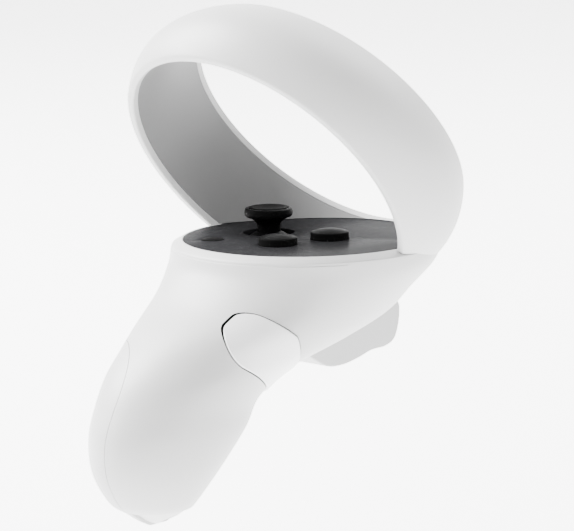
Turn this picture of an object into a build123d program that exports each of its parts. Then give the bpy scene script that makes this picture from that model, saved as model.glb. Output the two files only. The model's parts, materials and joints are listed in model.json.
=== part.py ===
from build123d import *
from math import cos, hypot, radians, sin
import os

# A left-hand motion controller wand: a handle with a round control face and a tracking ring.
# Millimetres. The origin is the centre of the control face's top. +Z leaves the face towards
# the thumb, +Y points forward, away from the wrist, and +X is the hand's right.

# Control face and head
plate_diameter = 60.0
plate_thickness = 2.0
plate_gap = 0.1            # round the face plate's edge
lip_width = 3.0            # sloping rim between the plate and the head's side
lip_drop = 1.3
lip_land = 0.35            # flat top of the rim beside the plate
ledge_width = 1.6          # the ledge that carries the plate
ledge_thickness = 1.5
shell_wall = 2.0
overrun = 60.0             # how far a cutter runs past what it cuts
seam_gap = 0.15            # between two fixed casing parts

# Head and handle: one smooth body, as long as its battery needs
cell_length = 50.5
cell_lean = 34.0           # degrees back from the face's normal
cell_top_depth = 9.634     # of the battery's upper end, below the face
cell_top_back = 23.761     # how far back the battery's upper end lies
body_foot_depth = 9.7      # the battery's lower end to the handle's end
body_foot_back = 0.9       # how far the handle's end lies behind the battery's
handle_radius = 33.0       # the handle's rows are shares of this, the head's of its own radius
neck_share = 0.4           # of body_drop, where head turns into handle
# Each row: depth share of body_drop, set-back share of body_reach,
# then half width and half length shares of the head's or the handle's radius.
body_shares = (
    (0.090, 0.031, 0.970, 1.003),
    (0.185, 0.142, 0.873, 1.009),
    (0.281, 0.278, 0.764, 1.085),
    (0.359, 0.456, 0.661, 0.994),
    (0.441, 0.694, 0.570, 0.767),
    (0.539, 0.836, 0.512, 0.652),
    (0.654, 0.906, 0.485, 0.621),
    (0.784, 0.974, 0.424, 0.497),
    (0.899, 1.000, 0.315, 0.342),
    (0.948, 0.985, 0.230, 0.239),
    (0.980, 0.985, 0.148, 0.158),
    (1.000, 0.989, 0.073, 0.082),
)
top_width_share = 0.998    # keeps the first ellipse's long side along Y, as in the rows below
cavity_rows = 10           # rows that the cavity follows
handle_lean = 27.7         # degrees back from the face's normal

# Tracking ring: two tilted rims and a bulging band between them
rim_low_tilt = 51.94       # degrees between the rim's axis and +Z
rim_low_y = -14.60
rim_low_z = 16.18
rim_low_radius = 39.06
rim_low_wall = 1.7
rim_high_tilt = 50.03
rim_high_y = 7.58
rim_high_z = 28.15
rim_high_radius = 38.64
rim_high_wall = 2.8
band_bulge = 4.21          # how far the band's outside stands proud of the rims half way
ring_stations = 5
ring_shell_wall = 1.5
liner_wall = 1.0
liner_gap = 0.08
liner_margin_share = 0.07  # of the band, left at each rim by the liner's seat
ring_seat_gap = 0.12       # ring to head

# Lights inside the ring
strip_thickness = 0.3
strip_start_share = 0.34
strip_end_share = 0.66
led_count = 15
led_first_angle = -218.0   # the band's top is at -90
led_last_angle = 38.0
led_length = 2.0
led_width = 1.6
led_height = 1.0
led_seat = 0.25

# Thumbstick
stick_x = -11.5
stick_y = -1.2
stick_hole_radius = 6.35
stick_pivot_depth = 7.4
stick_cap_radius = 6.0
stick_cap_bottom = 3.3
stick_cap_top = 6.4
stick_cap_round = 1.3
stick_dish_radius = 4.4
stick_dish_depth = 0.5
stick_stem_radius = 2.9
stick_foot_radius = 2.0
stick_foot_top = 3.0       # depth below the face
stick_foot_bottom = 5.6
stick_skirt_radius = 8.2   # a dome centred on the pivot
stick_skirt_wall = 0.8
stick_skirt_depth = 2.35
stick_bore_radius = 1.35
stick_click_travel = 0.5
stick_pad_thickness = 0.6

# Thumbstick module
module_side = 14.0
module_wall = 0.8
module_floor = 0.4
module_depth = 5.9         # its top's depth below the face
yoke_side = 10.4
yoke_hole = 6.6
yoke_thickness = 1.6
axle_radius = 0.7
axle_gap = 0.05
lever_block = 4.4
lever_height = 2.4
lever_pin_radius = 0.6
lever_pin_length = 9.6
lever_post_radius = 1.3
lever_post_gap = 0.5
sensor_thickness = 1.8
sensor_length = 8.0
sensor_height = 4.6
sensor_gap = 0.1
click_switch_length = 6.0
click_switch_width = 3.0
click_switch_height = 3.0

# Push buttons
lower_button_x = 3.0
lower_button_y = -13.0
upper_button_x = 7.0
upper_button_y = 0.9
round_button_radius = 4.65
round_button_rise = 1.7
round_button_crown = 0.8
menu_button_x = -14.6
menu_button_y = -17.7
menu_button_radius = 2.75
menu_button_rise = 0.12
menu_button_crown = 0.13
button_gap = 0.12
flange_width = 0.75
flange_gap = 0.1
flange_thickness = 1.0
plunger_radius = 1.5
menu_plunger_radius = 1.1
plunger_gap = 0.06
dome_radius = 2.2
menu_dome_radius = 1.6
dome_height = 1.5
dome_gap = 0.05

# Guide plate and circuit board, hung under the face plate
guide_inset = 3.0          # its edge to the plate's edge
guide_depth = 4.3          # its top's depth below the face
guide_thickness = 1.0
guide_window = 16.6
sleeve_wall = 1.0
sleeve_length = 1.5
board_inset = 5.5          # its edge to the plate's edge
board_depth = 10.5         # its top's depth below the face
board_thickness = 1.0
board_notch_half = 10.2
board_notch_y = -17.3
guide_notch_y = -23.0
post_inset = 9.5           # the posts' axes to the plate's edge
post_angles = (-40.0, 28.0, 150.0, 216.0)
post_radius = 2.0
post_gap = 0.05
screw_radius = 0.7
screw_gap = 0.02
screw_head_radius = 1.4
screw_head_height = 0.8
screw_bite = 1.4           # depth of the thread above the guide
chip_thickness = 0.9
chip_side = 6.0
chip_gap = 0.02
chip_shares = ((0.36, -0.12), (0.62, 0.20), (0.30, 0.34))   # places, as shares of the board's radius

# Vibration motor
motor_x = -13.5
motor_y = 3.0
motor_radius = 5.0
motor_height = 3.2
motor_wall = 0.3
motor_axle_radius = 0.4
motor_weight_gap = 0.25
motor_weight_height = 1.6
motor_bore_gap = 0.05

# Trigger
trigger_half_width = 9.0
trigger_gap = 0.4
trigger_front = 24.0       # where its lip ends, ahead of the origin
trigger_low = 31.4         # its lowest point's depth
trigger_rear = 13.0        # how far it runs behind the origin
trigger_round = 2.2
trigger_pivot_y = 14.0
trigger_pivot_depth = 14.6
trigger_neck_half = 7.6
trigger_barrel_radius = 2.2
trigger_pocket_front_share = 0.74
trigger_pocket_rear_share = 0.46
trigger_pocket_depth_share = 0.80
trigger_wall = 1.8
trigger_opening_depth = 16.6
trigger_swing_room = 2.0
trigger_lug_half = 2.0
# Outline from the rear corner along the underside to the front lip: shares of
# trigger_front (of trigger_rear where negative) and of trigger_low.
trigger_under_shares = (
    (-1.00, 0.790),
    (-0.60, 0.895),
    (-0.19, 0.984),
    (0.125, 1.000),
    (0.354, 0.975),
    (0.560, 0.937),
    (0.770, 0.930),
    (0.910, 0.885),
    (0.980, 0.770),
    (1.000, 0.640),
    (0.960, 0.570),
)
trigger_top_front_share = 0.80
trigger_top_front_depth_share = 0.560
trigger_top_rear_share = 0.62
trigger_top_rear_depth_share = 0.620
pin_radius = 1.0
pin_gap = 0.05
pin_seat_gap = 0.02
pin_end_gap = 0.2
trigger_lug_depth = 4.4
magnet_radius = 1.5
magnet_thickness = 1.5
magnet_gap = 0.03

# Torsion springs
wire_radius = 0.25
coil_gap = 0.12
coil_turns = 4
coil_pitch = 0.56
coil_room_half = 1.4       # half the slot that the coil sits in

# Grip button
grip_tip_y = -37.7
grip_tip_z = -18.1
grip_tip_radius = 6.3
grip_shoulder_y = -29.0
grip_shoulder_z = -18.6
grip_shoulder_radius = 1.6
grip_toe_y = -22.8
grip_toe_z = -31.8
grip_toe_radius = 3.0
grip_front_x = 6.2
grip_gap = 0.6
grip_proud = 0.5
grip_wall = 2.3
grip_tip_relief = 2.4      # cut off behind the tip's inside, so that it can swing
grip_pivot_x = 12.6
grip_pivot_y = -28.2
grip_pivot_z = -22.7
grip_hinge_tilt = 30.0     # degrees from -Z forward, along the button's front end
grip_barrel_radius = 2.0
grip_barrel_half = 3.4
grip_ear_gap = 0.2
grip_ear_thickness = 1.6
grip_base_thickness = 1.3
grip_base_gap = 0.4        # base plate to barrel
grip_magnet_y = -36.2
grip_magnet_z = -20.5
grip_magnet_x = 11.2
grip_post_radius = 2.3
grip_swing_room = 0.5      # bracket to the button's skin

# Battery, tray and contacts
cell_diameter = 14.5
cell_nub_diameter = 5.5
cell_nub_length = 1.0
cell_edge_round = 0.6
tray_gap = 0.25
tray_wall = 1.4
tray_shell_gap = 0.1
tray_top_room = 0.7
tray_rib_thickness = 1.6
tray_rib_shares = (-0.18, -0.70)   # of the cell's half length
tray_mouth_x = 2.0         # the mouth starts this far left of the cell's axis
tray_end_thickness = 1.2
contact_thickness = 0.4
contact_gap = 0.02
contact_side = 8.0
spring_length = 3.2
spring_radius = 3.2
spring_turns = 3
spring_wire_radius = 0.3
tray_lug_radius = 2.3
tray_lug_thickness = 2.4
tray_lug_x = 0.9
tray_lug_reach = 10.9
tray_lug_shares = (-0.16, -0.74)   # of the cell's half length
tray_post_radius = 2.2
tray_screw_radius = 0.8
tray_screw_head_radius = 1.6
tray_screw_head_height = 1.0
tray_screw_length = 8.0

# Battery cover
cover_seam_x = 0.6
cover_corner_radius = 17.0
cover_straight_y = -47.5
cover_straight_z = -39.0

# Strap anchor at the handle's end
anchor_height = 4.2
anchor_inset = 0.7
anchor_gap = 0.15
strap_hole_radius = 1.8
strap_hole_x = 3.4
strap_hole_forward = 1.3   # of the handle's end
anchor_tab_width = 3.6
anchor_tab_height = 0.9
anchor_tab_back = 2.7      # behind the handle's end

cell_up = (0, sin(radians(cell_lean)), cos(radians(cell_lean)))
cell_foot_y = -cell_top_back - cell_length * cell_up[1]
cell_foot_z = -cell_top_depth - cell_length * cell_up[2]
body_drop = body_foot_depth - cell_foot_z
body_reach = body_foot_back - cell_foot_y
anchor_cut_depth = body_drop - anchor_height
strap_hole_y = strap_hole_forward - body_reach
anchor_tab_y = -anchor_tab_back - body_reach
plate_radius = plate_diameter / 2
guide_radius = plate_radius - guide_inset
board_radius = plate_radius - board_inset
post_place_radius = plate_radius - post_inset
head_radius = plate_radius + lip_width
ledge_depth = plate_thickness + ledge_thickness
grip_axis = (0, sin(radians(grip_hinge_tilt)), -cos(radians(grip_hinge_tilt)))
cell_radius = cell_diameter / 2
tray_inner = cell_radius + tray_gap
tray_outer = tray_inner + tray_wall
board_top = -board_depth
board_bottom = -board_depth - board_thickness


def level(z):
    """A horizontal plane at height z."""
    return Plane.XY.offset(z)


def along(point, direction, distance):
    """The point at a distance from another along a direction."""
    return tuple(p + distance * d for p, d in zip(point, direction))


def keep(piece, name):
    """Label a finished piece and write its file."""
    piece.part.label = name
    export_step(piece.part, f"parts/{name}.step")


def body_row(index):
    """Depth, centre, half width and half length of the body at one row; row 0 is the lip's edge."""
    if index == 0:
        return -lip_drop, 0.0, head_radius * top_width_share, head_radius
    depth, back, wide, long = body_shares[index - 1]
    radius = head_radius if depth < neck_share else handle_radius
    return -depth * body_drop, -back * body_reach, wide * radius, long * radius


def inset_row(index, wall):
    """A row moved inwards, so that the wall is as thick where the body slopes."""
    last = len(body_shares)
    z0, y0, a0, b0 = body_row(max(index - 1, 0))
    z1, y1, a1, b1 = body_row(min(index + 1, last))
    z, y, a, b = body_row(index)
    side = wall * hypot(1, (a1 - a0) / (z1 - z0))
    front = wall * hypot(1, (y1 + b1 - y0 - b0) / (z1 - z0))
    rear = wall * hypot(1, (y1 - b1 - y0 + b0) / (z1 - z0))
    return z, y + (rear - front) / 2, a - side, b - (front + rear) / 2


def blend_rows(low, high, z):
    """The row at height z on the line between two rows."""
    share = (z - low[0]) / (high[0] - low[0])
    return tuple(p + share * (q - p) for p, q in zip(low, high))


def row_plane(z, y):
    return Plane(origin=(0, y, z), x_dir=(1, 0, 0), z_dir=(0, 0, 1))


def body_loft(rows):
    """A smooth solid through horizontal ellipses."""
    with BuildPart() as solid:
        for z, y, a, b in rows:
            with BuildSketch(row_plane(z, y)):
                Ellipse(a, b)
        loft()
    return solid.part


def outer_body(proud):
    """Head and handle as one solid with the sloping lip, grown by a small amount."""
    rows = [inset_row(i, -proud) for i in range(len(body_shares) + 1)]
    z, y, a, b = rows[0]
    with BuildPart() as solid:
        add(body_loft(rows))
        with BuildSketch(row_plane(z, y)):
            Ellipse(a, b)
        with BuildSketch(level(proud)):
            Circle(plate_radius + plate_gap + lip_land + proud)
        loft()
    return solid.part


def cavity(wall, top):
    """The hollow inside head and handle, below height top."""
    rows = [inset_row(i, wall) for i in range(cavity_rows + 1)]
    first = blend_rows(rows[0], rows[1], top)
    return body_loft([first] + rows[1:])


def ring_plane(u):
    """The tilted plane across the band: u is 0 at the low rim and 1 at the high rim."""
    tilt = radians(rim_low_tilt + u * (rim_high_tilt - rim_low_tilt))
    y = rim_low_y + u * (rim_high_y - rim_low_y)
    z = rim_low_z + u * (rim_high_z - rim_low_z)
    return Plane(origin=(0, y, z), x_dir=(1, 0, 0), z_dir=(0, sin(tilt), cos(tilt)))


def band_outside(u):
    rim = rim_low_radius + u * (rim_high_radius - rim_low_radius)
    return rim + band_bulge * 4 * u * (1 - u)


def band_inside(u):
    low = rim_low_radius - rim_low_wall
    high = rim_high_radius - rim_high_wall
    return low + u * (high - low)


def ring_loft(start, end, radius_at):
    """A disc-like solid through circles across the band."""
    with BuildPart() as solid:
        for i in range(ring_stations):
            u = start + (end - start) * i / (ring_stations - 1)
            with BuildSketch(ring_plane(u)):
                Circle(radius_at(u))
        loft()
    return solid.part


os.makedirs("parts", exist_ok=True)

head = outer_body(0)
head_cutter = outer_body(ring_seat_gap)
hollow = cavity(shell_wall, -ledge_depth)
tray_room = cavity(shell_wall + tray_shell_gap, -ledge_depth - tray_top_room)
ring_hole = ring_loft(-liner_margin_share, 1 + liner_margin_share, band_inside)

# Tracking ring
seat_end_share = 1 - liner_margin_share
gap_share = liner_gap / band_bulge
ring_channel = ring_loft(liner_margin_share, seat_end_share, lambda u: band_outside(u) - ring_shell_wall)

with BuildPart() as ring_outer_shell:
    add(ring_loft(0, 1, band_outside))
    add(ring_hole, mode=Mode.SUBTRACT)
    add(ring_channel, mode=Mode.SUBTRACT)
    add(head_cutter, mode=Mode.SUBTRACT)
keep(ring_outer_shell, "ring_outer_shell")

with BuildPart() as ring_inner_liner:
    liner_start = liner_margin_share + gap_share
    add(ring_loft(liner_start, 1 - liner_start, lambda u: band_inside(u) + liner_wall))
    add(ring_hole, mode=Mode.SUBTRACT)
    add(head_cutter, mode=Mode.SUBTRACT)
keep(ring_inner_liner, "ring_inner_liner")


def strip_inside(u):
    return band_inside(u) + liner_wall + liner_gap


with BuildPart() as led_strip:
    add(ring_loft(strip_start_share, strip_end_share, lambda u: strip_inside(u) + strip_thickness))
    add(ring_loft(0, 1, strip_inside), mode=Mode.SUBTRACT)
    add(head_cutter, mode=Mode.SUBTRACT)
keep(led_strip, "led_strip")

led_seat_radius = strip_inside(1 / 2) + strip_thickness + led_seat
with BuildPart() as leds:
    for i in range(led_count):
        angle = led_first_angle + (led_last_angle - led_first_angle) * i / (led_count - 1)
        with Locations(ring_plane(1 / 2)):
            with PolarLocations(led_seat_radius + led_height / 2, 1, start_angle=angle):
                Box(led_height, led_width, led_length)
keep(leds, "leds")


# Casing of head and handle
def cover_region(gap):
    """The left side of the handle, up to a corner arc behind it; gap moves its edges outwards."""
    frame = Plane(
        origin=(cover_seam_x, cover_straight_y, cover_straight_z),
        x_dir=(1, 0, 0),
        z_dir=(0, -cos(radians(handle_lean)), sin(radians(handle_lean))),
    )
    radius = cover_corner_radius + gap
    with BuildPart() as region:
        with BuildSketch(frame):
            with BuildLine():
                corner = CenterArc((-cover_corner_radius, 0), radius, 0, 90)
                Polyline(corner @ 1, (-overrun, radius), (-overrun, -overrun), (gap, -overrun), corner @ 0)
            make_face()
        extrude(amount=overrun, both=True)
    return region.part


def grip_region(gap, front_x):
    """The grip button's outline, seen from the side, as a prism on the right."""
    with BuildPart() as region:
        with BuildSketch(Plane.YZ.offset(front_x)):
            with Locations((grip_tip_y, grip_tip_z)):
                Circle(grip_tip_radius + gap)
            with Locations((grip_shoulder_y, grip_shoulder_z)):
                Circle(grip_shoulder_radius + gap)
            with Locations((grip_toe_y, grip_toe_z)):
                Circle(grip_toe_radius + gap)
            make_hull()
        extrude(amount=overrun)
    return region.part


def slab(x_low, x_high, y_low, y_high, z_low, z_high):
    """A box between two corners."""
    with BuildPart() as block:
        with Locations(((x_low + x_high) / 2, (y_low + y_high) / 2, (z_low + z_high) / 2)):
            Box(x_high - x_low, y_high - y_low, z_high - z_low)
    return block.part


def rod(start, direction, radius, length):
    """A round bar from a point along a direction."""
    with BuildPart() as bar:
        with BuildSketch(Plane(origin=start, z_dir=direction)):
            Circle(radius)
        extrude(amount=length)
    return bar.part


cell_foot = (0, cell_foot_y, cell_foot_z)
cell_centre = along(cell_foot, cell_up, cell_length / 2)


def beside_cell(share, back):
    """A point beside the cell: a share of its half length up from the middle, and behind its axis."""
    x, y, z = along(cell_centre, cell_up, share * cell_length / 2)
    return x, y - back * cos(radians(cell_lean)), z + back * sin(radians(cell_lean))


trigger_pivot = (0, trigger_pivot_y, -trigger_pivot_depth)
trigger_width = 2 * trigger_half_width
opening_half = trigger_half_width + trigger_gap
trigger_opening = slab(
    -opening_half, opening_half,
    -trigger_rear - trigger_swing_room, overrun,
    -overrun, -trigger_opening_depth,
)
anchor_region = slab(
    cover_seam_x + anchor_gap, overrun, -overrun - body_reach, overrun, -overrun - body_drop, -anchor_cut_depth
)

with BuildPart() as casing:
    add(head)
    add(hollow, mode=Mode.SUBTRACT)
    with BuildSketch(level(-ledge_depth)):
        Circle(plate_radius + plate_gap - ledge_width)
    extrude(amount=ledge_depth + overrun, mode=Mode.SUBTRACT)
    with BuildSketch(level(-plate_thickness)):
        Circle(plate_radius + plate_gap)
    extrude(amount=overrun, mode=Mode.SUBTRACT)

lug_start = trigger_neck_half + pin_end_gap
with BuildPart() as trigger_lugs:
    for side in (-1, 1):
        ends = sorted((side * lug_start, side * overrun))
        add(slab(
            ends[0], ends[1],
            trigger_pivot_y - trigger_lug_half, trigger_pivot_y + trigger_lug_half,
            -trigger_pivot_depth - trigger_lug_half, -trigger_pivot_depth + trigger_lug_half,
        ))
    add(head, mode=Mode.INTERSECT)
pin_reach = lug_start + trigger_lug_depth
trigger_pin_hole = rod(
    (-pin_reach, trigger_pivot_y, -trigger_pivot_depth), (1, 0, 0), pin_radius + pin_seat_gap, 2 * pin_reach
)

with BuildPart() as tray_posts:
    for share in tray_lug_shares:
        x, y, z = beside_cell(share, tray_lug_reach)
        start_x = tray_lug_x + tray_lug_thickness + seam_gap
        add(rod((start_x, y, z), (1, 0, 0), tray_post_radius, overrun))
    add(head, mode=Mode.INTERSECT)
    for share in tray_lug_shares:
        x, y, z = beside_cell(share, tray_lug_reach)
        add(rod((0, y, z), (1, 0, 0), tray_screw_radius + screw_gap, tray_lug_x + tray_screw_length + screw_bite),
            mode=Mode.SUBTRACT)

with BuildPart() as grip_shell:
    add(casing)
    add(cover_region(0), mode=Mode.SUBTRACT)
    add(grip_region(0, grip_front_x), mode=Mode.SUBTRACT)
    add(trigger_opening, mode=Mode.SUBTRACT)
    add(anchor_region, mode=Mode.SUBTRACT)
    add(trigger_lugs)
    add(tray_posts)
    add(trigger_pin_hole, mode=Mode.SUBTRACT)
keep(grip_shell, "grip_shell")

with BuildPart() as battery_cover:
    add(casing)
    add(cover_region(-seam_gap), mode=Mode.INTERSECT)
keep(battery_cover, "battery_cover")

# Strap anchor: the insert that closes the right side's lower end
anchor_top = -anchor_cut_depth - anchor_gap
anchor_left = cover_seam_x + anchor_gap
anchor_tab = slab(
    anchor_left, anchor_left + anchor_tab_width,
    anchor_tab_y - anchor_tab_width / 2, anchor_tab_y + anchor_tab_width / 2,
    anchor_top - anchor_tab_height, anchor_top + anchor_tab_height,
)
with BuildPart() as strap_anchor:
    add(outer_body(-anchor_inset))
    add(slab(anchor_left, overrun, -overrun - body_reach, overrun, -overrun - body_drop, anchor_top),
        mode=Mode.INTERSECT)
    add(anchor_tab)
    add(rod((strap_hole_x, strap_hole_y, -overrun - body_drop), (0, 0, 1), strap_hole_radius, 2 * overrun),
        mode=Mode.SUBTRACT)
keep(strap_anchor, "strap_anchor")

# Face plate
buttons = {
    "lower_button": (lower_button_x, lower_button_y, round_button_radius, round_button_rise,
                     round_button_crown, plunger_radius, dome_radius),
    "upper_button": (upper_button_x, upper_button_y, round_button_radius, round_button_rise,
                     round_button_crown, plunger_radius, dome_radius),
    "menu_button": (menu_button_x, menu_button_y, menu_button_radius, menu_button_rise,
                    menu_button_crown, menu_plunger_radius, menu_dome_radius),
}
post_points = [
    (post_place_radius * cos(radians(a)), post_place_radius * sin(radians(a))) for a in post_angles
]

with BuildPart() as face_plate:
    with BuildSketch(level(-plate_thickness)):
        Circle(plate_radius)
    extrude(amount=plate_thickness)
    with BuildSketch(level(-plate_thickness)):
        with Locations(*post_points):
            Circle(post_radius)
    extrude(amount=-(guide_depth - plate_thickness - post_gap))
    with BuildSketch(level(-guide_depth)):
        with Locations(*post_points):
            Circle(screw_radius + screw_gap)
    extrude(amount=screw_bite + screw_gap, mode=Mode.SUBTRACT)
    with BuildSketch():
        with Locations((stick_x, stick_y)):
            Circle(stick_hole_radius)
        for x, y, radius, rise, crown, plunger, dome in buttons.values():
            with Locations((x, y)):
                Circle(radius + button_gap)
    extrude(amount=-plate_thickness, mode=Mode.SUBTRACT)
keep(face_plate, "face_plate")

# Push buttons and their domes
for name, (x, y, radius, rise, crown, plunger, dome) in buttons.items():
    flange_top = -plate_thickness - flange_gap
    flange_bottom = flange_top - flange_thickness
    dome_top = board_top + dome_height
    with BuildPart() as button:
        with BuildSketch(Plane(origin=(x, y, 0), x_dir=(1, 0, 0), z_dir=(0, -1, 0))):
            with BuildLine():
                Line((0, rise + crown), (0, dome_top + dome_gap))
                Line((0, dome_top + dome_gap), (plunger, dome_top + dome_gap))
                Line((plunger, dome_top + dome_gap), (plunger, flange_bottom))
                Line((plunger, flange_bottom), (radius + flange_width, flange_bottom))
                Line((radius + flange_width, flange_bottom), (radius + flange_width, flange_top))
                Line((radius + flange_width, flange_top), (radius, flange_top))
                Line((radius, flange_top), (radius, rise))
                crown_radius = (radius ** 2 + crown ** 2) / (2 * crown)
                middle_sink = crown_radius - (crown_radius ** 2 - (radius / 2) ** 2) ** (1 / 2)
                ThreePointArc((radius, rise), (radius / 2, rise + crown - middle_sink), (0, rise + crown))
            make_face()
        revolve(axis=Axis((x, y, 0), (0, 0, 1)))
    keep(button, name)
    with BuildPart() as switch_dome:
        with BuildSketch(Plane.XY.offset(board_top)):
            with Locations((x, y)):
                Circle(dome)
        with BuildSketch(Plane.XY.offset(dome_top)):
            with Locations((x, y)):
                Circle(plunger)
        loft()
    keep(switch_dome, name.replace("button", "switch_dome"))

# Guide plate
with BuildPart() as button_guide:
    guide_bottom = -guide_depth - guide_thickness
    with BuildSketch(level(guide_bottom)):
        Circle(guide_radius)
    extrude(amount=guide_thickness)
    for x, y, radius, rise, crown, plunger, dome in buttons.values():
        with BuildSketch(level(guide_bottom)):
            with Locations((x, y)):
                Circle(plunger + plunger_gap + sleeve_wall)
        extrude(amount=-sleeve_length)
    with BuildSketch(level(guide_bottom)):
        with Locations(*post_points):
            Circle(post_radius)
    extrude(amount=board_top + post_gap - guide_bottom)
    for x, y, radius, rise, crown, plunger, dome in buttons.values():
        add(rod((x, y, -overrun), (0, 0, 1), plunger + plunger_gap, overrun), mode=Mode.SUBTRACT)
    for x, y in post_points:
        add(rod((x, y, -overrun), (0, 0, 1), screw_radius + screw_gap, overrun), mode=Mode.SUBTRACT)
    with BuildSketch(level(-guide_depth)):
        with Locations((stick_x, stick_y)):
            Rectangle(guide_window, guide_window)
        with Locations((0, guide_notch_y - overrun / 2)):
            Rectangle(2 * board_notch_half, overrun)
    extrude(amount=-guide_thickness, mode=Mode.SUBTRACT)
keep(button_guide, "button_guide")

# Circuit board, its screws and chips
with BuildPart() as main_board:
    with BuildSketch(level(board_bottom)):
        Circle(board_radius)
        with Locations((0, board_notch_y - overrun / 2)):
            Rectangle(2 * board_notch_half, overrun, mode=Mode.SUBTRACT)
        with Locations(*post_points):
            Circle(screw_radius + screw_gap, mode=Mode.SUBTRACT)
    extrude(amount=board_thickness)
    add(tray_room, mode=Mode.INTERSECT)
keep(main_board, "main_board")

with BuildPart() as board_screws:
    head_top = board_bottom - screw_gap
    for x, y in post_points:
        add(rod((x, y, head_top - screw_head_height), (0, 0, 1), screw_head_radius, screw_head_height))
        add(rod((x, y, head_top), (0, 0, 1), screw_radius, -guide_depth + screw_bite - head_top))
    with BuildSketch(level(head_top - screw_head_height)):
        with Locations(*post_points):
            RegularPolygon(screw_head_radius / 2, 6)
    extrude(amount=screw_head_height / 2, mode=Mode.SUBTRACT)
keep(board_screws, "board_screws")

with BuildPart() as board_chips:
    for x_share, y_share in chip_shares:
        with Locations((x_share * board_radius, y_share * board_radius,
                        board_bottom - chip_gap - chip_thickness / 2)):
            Box(chip_side, chip_side, chip_thickness)
keep(board_chips, "board_chips")

# Thumbstick module on the board
stick_pivot = (stick_x, stick_y, -stick_pivot_depth)
module_seat = board_top + screw_gap
with BuildPart() as stick_housing:
    inner = module_side / 2 - module_wall
    add(slab(stick_x - module_side / 2, stick_x + module_side / 2,
             stick_y - module_side / 2, stick_y + module_side / 2, module_seat, -module_depth))
    add(slab(stick_x - inner, stick_x + inner, stick_y - inner, stick_y + inner,
             module_seat + module_floor, 0), mode=Mode.SUBTRACT)
    add(rod((stick_x - module_side, stick_y, -stick_pivot_depth), (1, 0, 0), axle_radius + axle_gap,
            2 * module_side), mode=Mode.SUBTRACT)
keep(stick_housing, "stick_housing")

with BuildPart() as stick_yoke:
    with Locations(stick_pivot):
        Box(yoke_side, yoke_side, yoke_thickness)
        Box(yoke_hole, yoke_hole, yoke_thickness, mode=Mode.SUBTRACT)
    axle_reach = module_side / 2 + sensor_thickness
    with Locations(stick_pivot):
        with Locations((-(yoke_side + module_side) / 4 - yoke_thickness / 8, 0, 0)):
            Cylinder(axle_radius, (module_side - yoke_side) / 2 + yoke_thickness / 4, rotation=(0, 90, 0))
        with Locations(((yoke_side / 2 + axle_reach) / 2 - yoke_thickness / 8, 0, 0)):
            Cylinder(axle_radius, axle_reach - yoke_side / 2 + yoke_thickness / 4, rotation=(0, 90, 0))
    add(rod((stick_x, stick_y - module_side, -stick_pivot_depth), (0, 1, 0), lever_pin_radius + axle_gap,
            2 * module_side), mode=Mode.SUBTRACT)
keep(stick_yoke, "stick_yoke")

with BuildPart() as stick_lever:
    with Locations(stick_pivot):
        Box(lever_block, lever_block, lever_height)
        Cylinder(lever_pin_radius, lever_pin_length, rotation=(90, 0, 0))
    post_top = -lever_post_gap - stick_click_travel
    add(rod(stick_pivot, (0, 0, 1), lever_post_radius, stick_pivot_depth + post_top))
keep(stick_lever, "stick_lever")

with BuildPart() as stick_skirt:
    with Locations(stick_pivot):
        Sphere(stick_skirt_radius)
        Sphere(stick_skirt_radius - stick_skirt_wall, mode=Mode.SUBTRACT)
    add(slab(stick_x - overrun, stick_x + overrun, stick_y - overrun, stick_y + overrun,
             -overrun, -stick_skirt_depth), mode=Mode.SUBTRACT)

with BuildPart() as thumbstick:
    with BuildSketch(Plane(origin=(stick_x, stick_y, 0), x_dir=(1, 0, 0), z_dir=(0, -1, 0))):
        with BuildLine():
            Polyline(
                (0, stick_cap_top - stick_pad_thickness),
                (stick_cap_radius - stick_cap_round, stick_cap_top - stick_pad_thickness),
            )
            TangentArc(
                (stick_cap_radius - stick_cap_round, stick_cap_top - stick_pad_thickness),
                (stick_cap_radius, stick_cap_top - stick_pad_thickness - stick_cap_round),
                tangent=(1, 0),
            )
            Polyline(
                (stick_cap_radius, stick_cap_top - stick_pad_thickness - stick_cap_round),
                (stick_stem_radius, stick_cap_bottom),
                (stick_stem_radius, -stick_foot_top),
                (stick_foot_radius, -stick_foot_top),
                (stick_foot_radius, -stick_foot_bottom),
                (0, -stick_foot_bottom),
                (0, stick_cap_top - stick_pad_thickness),
            )
        make_face()
    revolve(axis=Axis((stick_x, stick_y, 0), (0, 0, 1)))
    add(stick_skirt)
    add(rod((stick_x, stick_y, -overrun), (0, 0, 1), stick_bore_radius, overrun), mode=Mode.SUBTRACT)
keep(thumbstick, "thumbstick")

with BuildPart() as thumbstick_pad:
    pad_base = stick_cap_top - stick_pad_thickness
    with BuildSketch(level(pad_base)):
        with Locations((stick_x, stick_y)):
            Circle(stick_cap_radius - stick_cap_round)
    extrude(amount=stick_pad_thickness)
    chamfer(thumbstick_pad.edges().group_by(Axis.Z)[-1], stick_pad_thickness / 2)
    dish_sphere = (stick_dish_radius ** 2 + stick_dish_depth ** 2) / (2 * stick_dish_depth)
    with Locations((stick_x, stick_y, stick_cap_top - stick_dish_depth + dish_sphere)):
        Sphere(dish_sphere, mode=Mode.SUBTRACT)
keep(thumbstick_pad, "thumbstick_pad")

with BuildPart() as stick_sensors:
    wall_x = stick_x + module_side / 2 + sensor_gap
    wall_y = stick_y + module_side / 2 + sensor_gap
    add(slab(wall_x, wall_x + sensor_thickness, stick_y - sensor_length / 2, stick_y + sensor_length / 2,
             module_seat, module_seat + sensor_height))
    add(slab(stick_x - sensor_length / 2, stick_x + sensor_length / 2, wall_y, wall_y + sensor_thickness,
             module_seat, module_seat + sensor_height))
    add(rod(stick_pivot, (1, 0, 0), axle_radius + axle_gap, 2 * module_side), mode=Mode.SUBTRACT)
keep(stick_sensors, "stick_sensors")

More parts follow.
